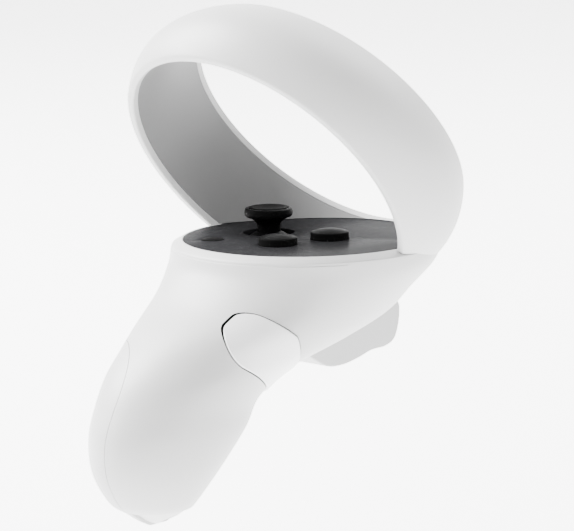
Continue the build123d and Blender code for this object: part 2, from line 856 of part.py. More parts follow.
with BuildPart() as stick_click_switch:
    switch_y = stick_y - module_side / 2 - sensor_gap
    add(slab(stick_x - click_switch_length / 2, stick_x + click_switch_length / 2,
             switch_y - click_switch_width, switch_y, module_seat, module_seat + click_switch_height))
keep(stick_click_switch, "stick_click_switch")

# Vibration motor under the board
motor_top = board_bottom - screw_gap
motor_bottom = motor_top - motor_height
motor_axle_low = motor_bottom + motor_wall
with BuildPart() as motor_case:
    add(rod((motor_x, motor_y, motor_bottom), (0, 0, 1), motor_radius, motor_height))
    add(rod((motor_x, motor_y, motor_axle_low), (0, 0, 1), motor_radius - motor_wall,
            motor_height - 2 * motor_wall), mode=Mode.SUBTRACT)
keep(motor_case, "motor_case")

with BuildPart() as motor_axle:
    add(rod((motor_x, motor_y, motor_axle_low), (0, 0, 1), motor_axle_radius, motor_height - 2 * motor_wall))
keep(motor_axle, "motor_axle")

with BuildPart() as motor_weight:
    weight_z = (motor_top + motor_bottom) / 2 - motor_weight_height / 2
    weight_radius = motor_radius - motor_wall - motor_weight_gap
    add(rod((motor_x, motor_y, weight_z), (0, 0, 1), weight_radius, motor_weight_height))
    add(slab(motor_x - overrun, motor_x + overrun, motor_y - overrun, motor_y - motor_radius / 4,
             -overrun, overrun), mode=Mode.SUBTRACT)
    add(rod((motor_x, motor_y, -overrun), (0, 0, 1), motor_axle_radius + motor_bore_gap, overrun),
        mode=Mode.SUBTRACT)
keep(motor_weight, "motor_weight")


# Trigger
def trigger_point(y_share, depth_share):
    """A point of the trigger's outline from its shares."""
    reach = trigger_rear if y_share < 0 else trigger_front
    return y_share * reach, -depth_share * trigger_low


def coil(centre, direction, barrel_radius, half_length):
    """A close coil round a pin."""
    with BuildPart() as spring:
        with BuildLine() as path:
            Helix(
                pitch=2 * half_length / coil_turns,
                height=2 * half_length,
                radius=barrel_radius,
                center=along(centre, direction, -half_length),
                direction=direction,
            )
        with BuildSketch(path.line ^ 0):
            Circle(wire_radius)
        sweep(is_frenet=True)
    return spring


pocket_half = trigger_half_width - trigger_wall
pocket_floor = -trigger_pocket_depth_share * trigger_low
with BuildPart() as trigger:
    with BuildSketch(Plane.YZ.offset(-trigger_half_width)):
        with BuildLine():
            under = Spline(*[trigger_point(*share) for share in trigger_under_shares])
            Polyline(
                under @ 1,
                trigger_point(trigger_top_front_share, trigger_top_front_depth_share),
                trigger_point(-trigger_top_rear_share, trigger_top_rear_depth_share),
                under @ 0,
            )
        make_face()
    extrude(amount=trigger_width)
    fillet(trigger.faces().filter_by(Axis.X).edges(), trigger_round)
    add(slab(-pocket_half, pocket_half, -trigger_pocket_rear_share * trigger_rear,
             trigger_pocket_front_share * trigger_front, pocket_floor, 0), mode=Mode.SUBTRACT)
    for side in (-1, 1):
        inner_x, outer_x = sorted((side * coil_room_half, side * trigger_neck_half))
        add(slab(inner_x, outer_x, trigger_pivot_y - trigger_barrel_radius,
                 trigger_pivot_y + trigger_barrel_radius, pocket_floor, -trigger_pivot_depth))
        add(rod((inner_x, trigger_pivot_y, -trigger_pivot_depth), (1, 0, 0), trigger_barrel_radius,
                outer_x - inner_x))
    add(rod((-overrun, trigger_pivot_y, -trigger_pivot_depth), (1, 0, 0), pin_radius + pin_gap, 2 * overrun),
        mode=Mode.SUBTRACT)
keep(trigger, "trigger")

with BuildPart() as trigger_pin:
    pin_half = pin_reach - pin_end_gap
    add(rod((-pin_half, trigger_pivot_y, -trigger_pivot_depth), (1, 0, 0), pin_radius, 2 * pin_half))
keep(trigger_pin, "trigger_pin")

coil_radius = pin_radius + coil_gap + wire_radius
coil_half = coil_turns * coil_pitch / 2 - wire_radius
trigger_spring = coil(trigger_pivot, (1, 0, 0), coil_radius, coil_half)
keep(trigger_spring, "trigger_spring")

with BuildPart() as trigger_magnet:
    add(rod((0, 0, pocket_floor + magnet_gap), (0, 0, 1), magnet_radius, magnet_thickness))
keep(trigger_magnet, "trigger_magnet")

# Grip button, hinged near its front end
grip_pivot = (grip_pivot_x, grip_pivot_y, grip_pivot_z)
grip_plane = Plane(origin=grip_pivot, x_dir=(1, 0, 0), z_dir=grip_axis)


def grip_blocks(near, far, profile):
    """Two equal blocks along the hinge axis, above and below the pivot."""
    with BuildPart() as blocks:
        for side in (-1, 1):
            with BuildSketch(grip_plane.offset(side * near)):
                Circle(grip_barrel_radius)
                profile()
            extrude(amount=side * (far - near))
    return blocks.part


def grip_web():
    with Locations((overrun / 2, 0)):
        Rectangle(overrun, 2 * grip_barrel_radius)


def grip_arm():
    reach = grip_barrel_radius + grip_base_gap + grip_base_thickness
    with Locations((-reach / 2, 0)):
        Rectangle(reach, 2 * grip_barrel_radius)


with BuildPart() as grip_hinge:
    add(grip_blocks(coil_room_half, grip_barrel_half, grip_web))
    add(rod((grip_magnet_x, grip_magnet_y, grip_magnet_z), (1, 0, 0), grip_post_radius, overrun))
    add(head, mode=Mode.INTERSECT)

with BuildPart() as grip_button:
    add(outer_body(grip_proud))
    add(cavity(grip_wall - grip_proud, -ledge_depth), mode=Mode.SUBTRACT)
    add(grip_region(-grip_gap, grip_front_x + grip_gap), mode=Mode.INTERSECT)
    add(slab(0, grip_front_x + grip_gap + grip_tip_relief, -overrun, grip_tip_y, -overrun, 0),
        mode=Mode.SUBTRACT)
    add(grip_hinge)
    add(rod(along(grip_pivot, grip_axis, -overrun), grip_axis, pin_radius + pin_gap, 2 * overrun),
        mode=Mode.SUBTRACT)
    add(rod((grip_magnet_x, grip_magnet_y, grip_magnet_z), (1, 0, 0), magnet_radius + magnet_gap,
            magnet_thickness + magnet_gap), mode=Mode.SUBTRACT)
keep(grip_button, "grip_button")

with BuildPart() as grip_magnet:
    add(rod((grip_magnet_x, grip_magnet_y, grip_magnet_z), (1, 0, 0), magnet_radius, magnet_thickness))
keep(grip_magnet, "grip_magnet")

ear_near = grip_barrel_half + grip_ear_gap
ear_far = ear_near + grip_ear_thickness
with BuildPart() as grip_bracket:
    add(grip_blocks(ear_near, ear_far, grip_arm))
    base_x = -grip_barrel_radius - grip_base_gap - grip_base_thickness / 2
    with BuildSketch(grip_plane.offset(-ear_far)):
        with Locations((base_x, 0)):
            Rectangle(grip_base_thickness, 2 * grip_barrel_radius)
    extrude(amount=2 * ear_far)
    add(rod(along(grip_pivot, grip_axis, -overrun), grip_axis, pin_radius + pin_seat_gap, 2 * overrun),
        mode=Mode.SUBTRACT)
    add(cavity(grip_wall - grip_proud + grip_swing_room, -ledge_depth), mode=Mode.INTERSECT)
    add(rod(cell_foot, cell_up, tray_outer + tray_gap, cell_length), mode=Mode.SUBTRACT)
keep(grip_bracket, "grip_bracket")

with BuildPart() as grip_pin:
    add(rod(along(grip_pivot, grip_axis, -ear_far), grip_axis, pin_radius, 2 * ear_far))
keep(grip_pin, "grip_pin")

grip_spring = coil(grip_pivot, grip_axis, coil_radius, coil_half)
keep(grip_spring, "grip_spring")

# Battery cell, tray and contacts
cell_low = -cell_length / 2
cell_high = cell_length / 2
tray_low = cell_low - spring_length - contact_thickness
tray_high = cell_high + contact_gap + contact_thickness
cell_plane = Plane(origin=cell_centre, x_dir=(1, 0, 0), z_dir=cell_up)

with BuildPart() as battery_cell:
    with BuildSketch(cell_plane.offset(cell_low)):
        Circle(cell_radius)
    extrude(amount=cell_length - cell_nub_length)
    fillet(battery_cell.edges(), cell_edge_round)
    with BuildSketch(cell_plane.offset(cell_high - cell_nub_length)):
        Circle(cell_nub_diameter / 2)
    extrude(amount=cell_nub_length)
keep(battery_cell, "battery_cell")

with BuildPart() as tray_ribs:
    for share in tray_rib_shares:
        with BuildSketch(cell_plane.offset(share * cell_high - tray_rib_thickness / 2)):
            Rectangle(overrun, overrun)
            Circle(tray_inner, mode=Mode.SUBTRACT)
        extrude(amount=tray_rib_thickness)
    add(slab(-overrun, cover_seam_x + seam_gap, -2 * overrun, overrun, -2 * overrun, overrun),
        mode=Mode.SUBTRACT)

with BuildPart() as battery_tray:
    with BuildSketch(cell_plane.offset(tray_low)):
        Circle(tray_outer)
        Circle(tray_inner, mode=Mode.SUBTRACT)
    extrude(amount=tray_high - tray_low)
    for height in (tray_low - tray_end_thickness, tray_high):
        with BuildSketch(cell_plane.offset(height)):
            Circle(tray_outer)
        extrude(amount=tray_end_thickness)
    add(tray_ribs)
    add(tray_room, mode=Mode.INTERSECT)
    add(slab(-overrun, overrun, -2 * overrun, 0, -2 * overrun, anchor_top + anchor_tab_height + anchor_gap),
        mode=Mode.SUBTRACT)
    add(slab(-overrun, -tray_mouth_x, -2 * overrun, overrun, -2 * overrun, overrun), mode=Mode.SUBTRACT)
    for share in tray_lug_shares:
        x, y, z = beside_cell(share, tray_lug_reach)
        start_x = tray_lug_x + tray_lug_thickness + seam_gap
        add(rod((start_x - seam_gap, y, z), (1, 0, 0), tray_post_radius + seam_gap, overrun), mode=Mode.SUBTRACT)
        add(rod((-overrun, y, z), (1, 0, 0), tray_lug_radius, overrun + tray_lug_x), mode=Mode.SUBTRACT)
        add(rod((tray_lug_x, y, z), (1, 0, 0), tray_lug_radius, tray_lug_thickness))
        add(rod((0, y, z), (1, 0, 0), tray_screw_radius + screw_gap, overrun), mode=Mode.SUBTRACT)
keep(battery_tray, "battery_tray")

with BuildPart() as tray_screws:
    for share in tray_lug_shares:
        x, y, z = beside_cell(share, tray_lug_reach)
        add(rod((tray_lug_x - tray_screw_head_height, y, z), (1, 0, 0), tray_screw_head_radius,
                tray_screw_head_height))
        add(rod((tray_lug_x, y, z), (1, 0, 0), tray_screw_radius, tray_screw_length))
keep(tray_screws, "tray_screws")

for name, height in (("spring_contact_plate", tray_low), ("positive_contact_plate", tray_high - contact_thickness)):
    with BuildPart() as contact_plate:
        with BuildSketch(cell_plane.offset(height)):
            Rectangle(contact_side, contact_side)
        extrude(amount=contact_thickness)
    keep(contact_plate, name)

with BuildPart() as contact_spring:
    spring_room = spring_length - 2 * spring_wire_radius - 2 * contact_gap
    with BuildLine() as path:
        Helix(
            pitch=spring_room / spring_turns,
            height=spring_room,
            radius=spring_radius,
            center=along(cell_centre, cell_up, tray_low + contact_thickness + contact_gap + spring_wire_radius),
            direction=cell_up,
        )
    with BuildSketch(path.line ^ 0):
        Circle(spring_wire_radius)
    sweep(is_frenet=True)
keep(contact_spring, "contact_spring")
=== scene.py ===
# %% [markdown]
# # A motion controller wand
# The real object is a hollow plastic handle with a round dark control face on top and a tilted
# tracking ring round the thumb. This lesson rebuilds the parts that show as smooth meshes round
# the fixed frame, and gives every part a moulded finish.

# %% Load the frame
import bmesh
import bpy
import json
from math import asin, atan2, cos, hypot, pi, radians, sin
from mathutils import Matrix, Vector


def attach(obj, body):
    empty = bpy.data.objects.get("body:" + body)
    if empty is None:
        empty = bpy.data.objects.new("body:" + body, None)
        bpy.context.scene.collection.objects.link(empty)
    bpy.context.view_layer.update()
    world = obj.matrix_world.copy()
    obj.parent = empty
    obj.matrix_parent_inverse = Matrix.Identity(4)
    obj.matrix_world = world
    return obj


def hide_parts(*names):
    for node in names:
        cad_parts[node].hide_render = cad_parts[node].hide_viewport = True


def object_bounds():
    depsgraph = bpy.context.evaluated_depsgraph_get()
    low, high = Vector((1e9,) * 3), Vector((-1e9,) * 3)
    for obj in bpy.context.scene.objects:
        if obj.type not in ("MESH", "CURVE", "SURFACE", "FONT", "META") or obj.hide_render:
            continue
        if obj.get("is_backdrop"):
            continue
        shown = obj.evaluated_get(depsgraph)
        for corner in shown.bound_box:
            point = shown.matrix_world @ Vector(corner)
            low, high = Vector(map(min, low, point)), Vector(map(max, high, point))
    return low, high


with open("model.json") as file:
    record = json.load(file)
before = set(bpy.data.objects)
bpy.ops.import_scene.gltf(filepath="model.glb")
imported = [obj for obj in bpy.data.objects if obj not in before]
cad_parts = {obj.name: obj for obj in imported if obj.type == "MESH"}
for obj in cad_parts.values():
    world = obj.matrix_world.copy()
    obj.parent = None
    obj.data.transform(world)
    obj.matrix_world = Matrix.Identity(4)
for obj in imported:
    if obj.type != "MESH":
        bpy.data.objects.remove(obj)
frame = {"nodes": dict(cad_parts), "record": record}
cad_box = [list(corner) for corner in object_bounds()]
MM = 0.001

# %% [markdown]
# ## The camera
# A product photograph is taken from far away with a long lens, so the rims of the ring stay close
# to true ellipses. The camera stands in front and to one side, a little above the control face.
# Its direction comes first, then its place along that direction.

# %% Camera
CAMERA_AZIMUTH = radians(44.125)
CAMERA_ELEVATION = radians(9.885)
CAMERA_ROLL = radians(-1.051)
CAMERA_DISTANCE = 679.0
CAMERA_SIDE = 4.667
CAMERA_RISE = 7.193
CAMERA_LENS = 174.7
CAMERA_SENSOR = 36.0
CAMERA_REACH = 100.0

look = Vector((
    -sin(CAMERA_AZIMUTH) * cos(CAMERA_ELEVATION),
    cos(CAMERA_AZIMUTH) * cos(CAMERA_ELEVATION),
    -sin(CAMERA_ELEVATION),
))
level_right = Vector((cos(CAMERA_AZIMUTH), sin(CAMERA_AZIMUTH), 0))
level_up = level_right.cross(look)
right = cos(CAMERA_ROLL) * level_right + sin(CAMERA_ROLL) * level_up
up = -sin(CAMERA_ROLL) * level_right + cos(CAMERA_ROLL) * level_up

camera_data = bpy.data.cameras.new("camera")
camera_data.lens = CAMERA_LENS
camera_data.sensor_width = CAMERA_SENSOR
camera_data.sensor_fit = "HORIZONTAL"
camera_data.clip_end = CAMERA_REACH
camera = bpy.data.objects.new("camera", camera_data)
bpy.context.collection.objects.link(camera)
camera_place = (-CAMERA_DISTANCE * look - CAMERA_SIDE * right - CAMERA_RISE * up) * MM
turn = Matrix((right, up, -look)).transposed().to_4x4()
camera.matrix_world = Matrix.Translation(camera_place) @ turn
bpy.context.scene.camera = camera
print("camera at", [round(c, 3) for c in camera_place])

# %% [markdown]
# ## The stage
# The photograph's background is plain white, so the floor runs up behind the object in a wide
# curve, like the paper roll in a studio. One profile line is extruded sideways to make it.

# %% Floor and backdrop
FLOOR_Z = -0.125
FLOOR_HALF = 3.0
COVE_RADIUS = 0.9
COVE_STEPS = 24

profile = [Vector((0, -FLOOR_HALF, FLOOR_Z)), Vector((0, FLOOR_HALF - COVE_RADIUS, FLOOR_Z))]
for i in range(1, COVE_STEPS + 1):
    angle = pi / 2 * i / COVE_STEPS
    profile.append(Vector((
        0, FLOOR_HALF - COVE_RADIUS + COVE_RADIUS * sin(angle), FLOOR_Z + COVE_RADIUS * (1 - cos(angle))
    )))
profile.append(Vector((0, FLOOR_HALF, FLOOR_HALF)))

bm = bmesh.new()
corners = [bm.verts.new(point - Vector((FLOOR_HALF, 0, 0))) for point in profile]
line = [bm.edges.new(pair) for pair in zip(corners, corners[1:])]
swept = bmesh.ops.extrude_edge_only(bm, edges=line)["geom"]
bmesh.ops.translate(
    bm, verts=[g for g in swept if isinstance(g, bmesh.types.BMVert)], vec=(2 * FLOOR_HALF, 0, 0)
)
bmesh.ops.rotate(bm, verts=bm.verts, matrix=Matrix.Rotation(CAMERA_AZIMUTH, 3, "Z"))
bmesh.ops.recalc_face_normals(bm, faces=bm.faces)
floor_mesh = bpy.data.meshes.new("floor")
bm.to_mesh(floor_mesh)
bm.free()
for face in floor_mesh.polygons:
    face.use_smooth = True
floor = bpy.data.objects.new("floor", floor_mesh)
bpy.context.collection.objects.link(floor)
floor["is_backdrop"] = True
print("floor faces:", len(floor_mesh.polygons))

# %% [markdown]
# ## Soft studio light
# Matte white plastic needs wide, soft lamps, or its gentle curves burn out. The main lamp stands
# high on the camera's left, a second one lights the back of the ring, and a weak one near the
# camera fills the side that faces it. A pale surrounding lifts the rest.

# %% Lamps
WORLD_STRENGTH = 0.5


def soft_lamp(name, place, power, size):
    """A square lamp that looks at the object."""
    data = bpy.data.lights.new(name, "AREA")
    data.energy = power
    data.size = size
    lamp = bpy.data.objects.new(name, data)
    lamp.location = place
    lamp.rotation_euler = (-Vector(place)).to_track_quat("-Z", "Y").to_euler()
    bpy.context.collection.objects.link(lamp)


soft_lamp("main_lamp", (-1.20, -0.45, 1.15), 205.0, 1.1)
soft_lamp("back_lamp", (0.20, 1.25, 1.25), 50.0, 1.2)
soft_lamp("front_lamp", (0.70, -1.00, 1.10), 16.0, 1.1)
world = bpy.data.worlds.new("surrounding")
world.use_nodes = True
world.node_tree.nodes["Background"].inputs["Color"].default_value = (1.0, 1.0, 1.0, 1.0)
world.node_tree.nodes["Background"].inputs["Strength"].default_value = WORLD_STRENGTH
bpy.context.scene.world = world

# %% [markdown]
# ## Shader sums as plain expressions
# A finish is a small tree of nodes. This class wraps one output socket and overloads the usual
# operators, so that a pattern can be written as a formula. Colours go through mix, because a
# Math node would turn them grey.

# %% Socket class


class Socket:
    """One output of a shader tree that can be added, multiplied and mixed."""

    def __init__(self, tree, output):
        self.tree = tree
        self.output = output

    def node(self, kind, settings=None, **inputs):
        """A node of any kind: its settings first, then values or links on its inputs."""
        made = self.tree.nodes.new(kind)
        for name, value in (settings or {}).items():
            setattr(made, name, value)
        for name, value in inputs.items():
            wanted = int(name[1:]) if name[0] == "i" and name[1:].isdigit() else name.replace("_", " ")
            if isinstance(value, Socket):
                self.tree.links.new(value.output, made.inputs[wanted])
            else:
                made.inputs[wanted].default_value = value
        return made

    def math(self, operation, other=0.0, clamp=False):
        settings = {"operation": operation, "use_clamp": clamp}
        return Socket(self.tree, self.node("ShaderNodeMath", settings, i0=self, i1=other).outputs[0])

    def __add__(self, other):
        return self.math("ADD", other)

    __radd__ = __add__

    def __mul__(self, other):
        return self.math("MULTIPLY", other)

    def __sub__(self, other):
        return self.math("SUBTRACT", other)

    def over(self, level, width):
        """A soft step: 0 below level, 1 above level + width."""
        return ((self - level) * (1 / width)).math("ADD", 0.0, clamp=True)

    def mix(self, low, high):
        """A colour between two others, by this value."""
        made = self.node("ShaderNodeMix", {"data_type": "RGBA"}, i0=self, i6=low, i7=high)
        return Socket(self.tree, made.outputs[2])


# %% [markdown]
# ## Moulded plastic
# Every plastic part here comes from a steel mould. Its skin is a fine even grain, a fraction of a
# millimetre across, which only softens the highlights. The tone wanders very slightly, and handling
# leaves faint scuffs that are a little smoother than the grain round them.

# %% Finish function
CLOUD_SIZE = 0.018
PATCH_SIZE = 0.012
MARK_SIZE = 0.0022
PATCH_STEP = (0.48, 0.12)
MARK_STEP = (0.60, 0.08)
MARK_TONE = 0.5
CLOUD_ROUGHNESS = 0.08
GRAIN_ROUGHNESS = 0.06
CLOUD_BUMP = 0.2
BUMP_DEPTH = 0.0001
COAT_ROUGHNESS = 0.08


def finish(name, colour, roughness, grain=0.03, grain_size=0.00018, drift=0.03, scuff=0.0, metallic=0.0,
           coat=0.0, specular=0.5, glow=0.0, wear_colour=None):
    """A procedural finish on the object's own coordinates, in metres."""
    material = bpy.data.materials.new(name)
    material.use_nodes = True
    tree = material.node_tree
    shader = tree.nodes["Principled BSDF"]
    place = Socket(tree, tree.nodes.new("ShaderNodeTexCoord").outputs["Object"])

    def noise(size, detail=2.0):
        made = place.node("ShaderNodeTexNoise", Vector=place, Scale=1 / size, Detail=detail)
        return Socket(tree, made.outputs["Fac"])

    cloud = noise(CLOUD_SIZE)
    dark = [c * (1 - drift) for c in colour] + [1.0]
    light = [min(1.0, c * (1 + drift)) for c in colour] + [1.0]
    tone = cloud.mix(dark, light)
    fine = noise(grain_size, 1.0)
    marks = noise(MARK_SIZE, 4.0).over(*MARK_STEP) * noise(PATCH_SIZE).over(*PATCH_STEP)
    if wear_colour is not None:
        tone = (marks * MARK_TONE).mix(tone, list(wear_colour) + [1.0])
    tree.links.new(tone.output, shader.inputs["Base Color"])
    rough = roughness + (cloud - 0.5) * CLOUD_ROUGHNESS + (fine - 0.5) * GRAIN_ROUGHNESS - marks * scuff
    tree.links.new(rough.output, shader.inputs["Roughness"])
    bump = place.node("ShaderNodeBump", Strength=grain, Distance=BUMP_DEPTH,
                      Height=fine + cloud * CLOUD_BUMP)
    tree.links.new(bump.outputs["Normal"], shader.inputs["Normal"])
    shader.inputs["Metallic"].default_value = metallic
    shader.inputs["Coat Weight"].default_value = coat
    shader.inputs["Specular IOR Level"].default_value = specular
    shader.inputs["Coat Roughness"].default_value = COAT_ROUGHNESS
    shader.inputs["Emission Color"].default_value = (1.0, 1.0, 1.0, 1.0)
    shader.inputs["Emission Strength"].default_value = glow
    material.diffuse_color = list(colour) + [1.0]
    return material


# %% [markdown]
# Each slot of the record gets its own finish: a colour, a roughness and what else it needs. The
# shell is off-white with a satin grain, the face plate is smooth dark grey with faint marks of
# thumbs, and the metals inside are plated. The floor's paper glows, so that it stays nearly white.

# %% All finishes
looks = {
    "shell_plastic": ((0.49, 0.49, 0.487), 0.46, dict(grain=0.10, drift=0.012, scuff=0.05)),
    # The liner is a grey part, made darker still with painted shade for the inside of the ring.
    "liner_plastic": ((0.16, 0.16, 0.16), 0.42, dict(grain=0.06, drift=0.015, scuff=0.05, specular=0.3)),
    "grip_plastic": ((0.76, 0.76, 0.76), 0.34, dict(grain=0.06, drift=0.012, scuff=0.06)),
    # The trigger's grey is darker than the shell's: painted shade for the shadow under the head.
    "trigger_plastic": ((0.40, 0.40, 0.40), 0.40, dict(grain=0.08, drift=0.015, scuff=0.05)),
    "anchor_plastic": ((0.56, 0.56, 0.556), 0.5, dict(grain=0.10, drift=0.02)),
    "face_plastic": ((0.016, 0.016, 0.017), 0.28, dict(
        grain=0.01, drift=0.04, scuff=-0.03, specular=0.0015, wear_colour=(0.017, 0.017, 0.018))),
    "button_plastic": ((0.006, 0.006, 0.006), 0.34, dict(
        grain=0.10, drift=0.10, scuff=0.10, specular=0.004, wear_colour=(0.012, 0.012, 0.013))),
    "stick_plastic": ((0.003, 0.003, 0.003), 0.5, dict(grain=0.12, drift=0.10, scuff=0.08, specular=0.02)),
    "stick_rubber": ((0.004, 0.004, 0.004), 0.72, dict(
        grain=0.45, grain_size=0.0003, drift=0.15, scuff=0.15, specular=0.02,
        wear_colour=(0.006, 0.006, 0.006))),
    "dome_rubber": ((0.42, 0.42, 0.40), 0.55, dict(grain=0.15)),
    "inner_plastic": ((0.035, 0.035, 0.035), 0.5, dict(grain=0.2)),
    "board": ((0.012, 0.10, 0.045), 0.35, dict(grain=0.25, grain_size=0.0006, drift=0.12, coat=0.4)),
    "chip_plastic": ((0.02, 0.02, 0.022), 0.55, dict(grain=0.25)),
    "steel": ((0.60, 0.60, 0.61), 0.32, dict(grain=0.12, metallic=1.0, scuff=-0.2)),
    "spring_steel": ((0.66, 0.65, 0.62), 0.26, dict(grain=0.06, metallic=1.0)),
    "magnet": ((0.70, 0.70, 0.72), 0.14, dict(grain=0.03, metallic=1.0)),
    "brass": ((0.62, 0.46, 0.20), 0.34, dict(grain=0.10, metallic=1.0)),
    "cell_wrap": ((0.04, 0.07, 0.14), 0.25, dict(grain=0.03, metallic=0.3, coat=0.5)),
    "flex_film": ((0.40, 0.20, 0.03), 0.25, dict(grain=0.05, coat=0.3)),
    "led_lens": ((0.75, 0.74, 0.68), 0.12, dict(grain=0.02, coat=0.6)),
}
finishes = {}
for slot, (colour, roughness, more) in looks.items():
    finishes[slot] = finish(slot, colour, roughness, **more)
floor_paper = finish("floor_paper", (0.90, 0.90, 0.90), 0.9, grain=0.02, drift=0.004, glow=2.5)
floor.data.materials.append(floor_paper)
for row in frame["record"]["subparts"]:
    mesh = frame["nodes"][row["node"]].data
    mesh.materials.clear()
    mesh.materials.append(finishes[row["material_slot"]])
print("finishes:", len(finishes))

# %% [markdown]
# ## Skins through rings
# Handle, head and ring are all shapes that a draughtsman would give as a row of cross-sections.
# So one helper starts from a circle, moves its points to where the first section lies, and
# extrudes its edges from section to section. A second helper rounds the corners of such a row.

# %% Ring and piece helpers
SEGMENTS = 160
ROUND_STEPS = 5
ROUND_SHARE = 0.45
SMOOTH_ANGLE = 35


def skin(rings, segments=SEGMENTS, closed=False):
    """A mesh through rings; each ring turns an angle into a point in millimetres."""
    bm = bmesh.new()
    turn = bm.verts.layers.float.new("angle")
    verts = bmesh.ops.create_circle(bm, segments=segments, radius=1.0)["verts"]
    edges = list({edge for vert in verts for edge in vert.link_edges})
    for vert in verts:
        vert[turn] = atan2(vert.co.y, vert.co.x)
        vert.co = Vector(rings[0](vert[turn])) * MM
    first = edges
    for ring in rings[1:] + rings[:1] * closed:
        made = bmesh.ops.extrude_edge_only(bm, edges=edges)["geom"]
        verts = {g for g in made if isinstance(g, bmesh.types.BMVert)}
        edges = [g for g in made if isinstance(g, bmesh.types.BMEdge) and verts.issuperset(g.verts)]
        for vert in verts:
            vert.co = Vector(ring(vert[turn])) * MM
    if closed:
        bmesh.ops.remove_doubles(bm, verts=bm.verts, dist=MM / 1000)
    else:
        for end in (first, edges):
            bmesh.ops.edgeloop_fill(bm, edges=end)
    bmesh.ops.recalc_face_normals(bm, faces=bm.faces)
    return bm


def to_object(bm, name):
    """Turn a bmesh into an object at the origin."""
    mesh = bpy.data.meshes.new(name)
    bm.to_mesh(mesh)
    bm.free()
    made = bpy.data.objects.new(name, mesh)
    bpy.context.collection.objects.link(made)
    return made


def applied(piece):
    """Apply the piece's modifiers to its mesh."""
    bpy.context.view_layer.update()
    graph = bpy.context.evaluated_depsgraph_get()
    mesh = bpy.data.meshes.new_from_object(piece.evaluated_get(graph))
    piece.modifiers.clear()
    piece.data = mesh


def cut(piece, cutter, operation="DIFFERENCE"):
    """Cut one closed mesh with another, and drop the cutter."""
    boolean = piece.modifiers.new("cut", "BOOLEAN")
    boolean.operation = operation
    boolean.object = cutter
    boolean.solver = "EXACT"
    applied(piece)
    bpy.data.objects.remove(cutter)


def soften(piece, width, segments, angle=40):
    """Round the sharp edges by a small radius in millimetres."""
    bevel = piece.modifiers.new("soften", "BEVEL")
    bevel.width = width * MM
    bevel.segments = segments
    bevel.limit_method = "ANGLE"
    bevel.angle_limit = radians(angle)
    bevel.use_clamp_overlap = True
    applied(piece)


def rounded(points, steps=ROUND_STEPS):
    """A path through (x, y, radius) points, with an arc at each corner that has a radius."""
    path = []
    for i, (x, y, radius) in enumerate(points):
        if not radius or i in (0, len(points) - 1):
            path.append((x, y))
            continue
        here = Vector((x, y))
        before = Vector(points[i - 1][:2]) - here
        after = Vector(points[i + 1][:2]) - here
        reach = min(radius, before.length * ROUND_SHARE, after.length * ROUND_SHARE)
        start = here + before.normalized() * reach
        end = here + after.normalized() * reach
        for k in range(steps + 1):
            t = k / steps
            path.append(tuple((1 - t) ** 2 * start + 2 * t * (1 - t) * here + t ** 2 * end))
    return path


def finished(piece, body, slot, nodes, normal_at=None, angle=SMOOTH_ANGLE):
    """Shade a piece smoothly, give it its finish and tie it to the frame."""
    mesh = piece.data
    for face in mesh.polygons:
        face.use_smooth = True
    mesh.set_sharp_from_angle(angle=radians(angle))
    if normal_at is not None:
        limit = cos(radians(angle))
        normals = [tuple(corner.vector) for corner in mesh.corner_normals]
        for face in mesh.polygons:
            for corner in face.loop_indices:
                found = normal_at(mesh.vertices[mesh.loops[corner].vertex_index].co / MM)
                if found is not None and found.dot(face.normal) > limit:
                    normals[corner] = tuple(found)
        mesh.normals_split_custom_set(normals)
    mesh.materials.clear()
    mesh.materials.append(finishes[slot])
    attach(piece, body)
    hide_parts(*nodes)
    print(piece.name, "faces:", len(mesh.polygons), "stands for", ", ".join(nodes))


# %% [markdown]
# ## The sections of head and handle
# From the control face down, each section is an ellipse. The table gives its depth, how far it
# sits back, and its half width and half length, as shares of the whole. Between rows, a curve
# that passes through every row keeps the surface smooth.

# %% Body sections
PLATE_RADIUS = 30.0
PLATE_GAP = 0.1
PLATE_THICKNESS = 2.0
LIP_LAND = 0.35
LIP_WIDTH = 3.0
LIP_DROP = 1.3
LEDGE_WIDTH = 1.6
LEDGE_THICKNESS = 1.5
SHELL_WALL = 2.0
HEAD_RADIUS = PLATE_RADIUS + LIP_WIDTH
BODY_DROP = 61.2
BODY_REACH = 52.9
CAVITY_ROWS = 10
ROW_STEPS = 8
BODY_SHARES = (
    (0.090, 0.031, 0.970, 1.003),
    (0.185, 0.142, 0.873, 1.009),
    (0.281, 0.278, 0.764, 1.085),
    (0.359, 0.456, 0.661, 0.994),
    (0.441, 0.694, 0.570, 0.767),
    (0.539, 0.836, 0.512, 0.652),
    (0.654, 0.906, 0.485, 0.621),
    (0.784, 0.974, 0.424, 0.497),
    (0.899, 1.000, 0.315, 0.342),
    (0.948, 0.985, 0.230, 0.239),
    (0.980, 0.985, 0.148, 0.158),
    (1.000, 0.989, 0.073, 0.082),
)
body_rows = [(-LIP_DROP, 0.0, HEAD_RADIUS, HEAD_RADIUS)]
for depth, back, wide, long in BODY_SHARES:
    body_rows.append((-depth * BODY_DROP, -back * BODY_REACH, wide * HEAD_RADIUS, long * HEAD_RADIUS))
print("given sections:", len(body_rows))

# %% Curve through the sections


def inset_row(i, wall):
    """A row moved inwards, so that the wall is as thick where the body slopes."""
    z0, y0, a0, b0 = body_rows[max(i - 1, 0)]
    z1, y1, a1, b1 = body_rows[min(i + 1, len(body_rows) - 1)]
    z, y, a, b = body_rows[i]
    side = wall * hypot(1, (a1 - a0) / (z1 - z0))
    front = wall * hypot(1, (y1 + b1 - y0 - b0) / (z1 - z0))
    rear = wall * hypot(1, (y1 - b1 - y0 + b0) / (z1 - z0))
    return z, y + (rear - front) / 2, a - side, b - (front + rear) / 2


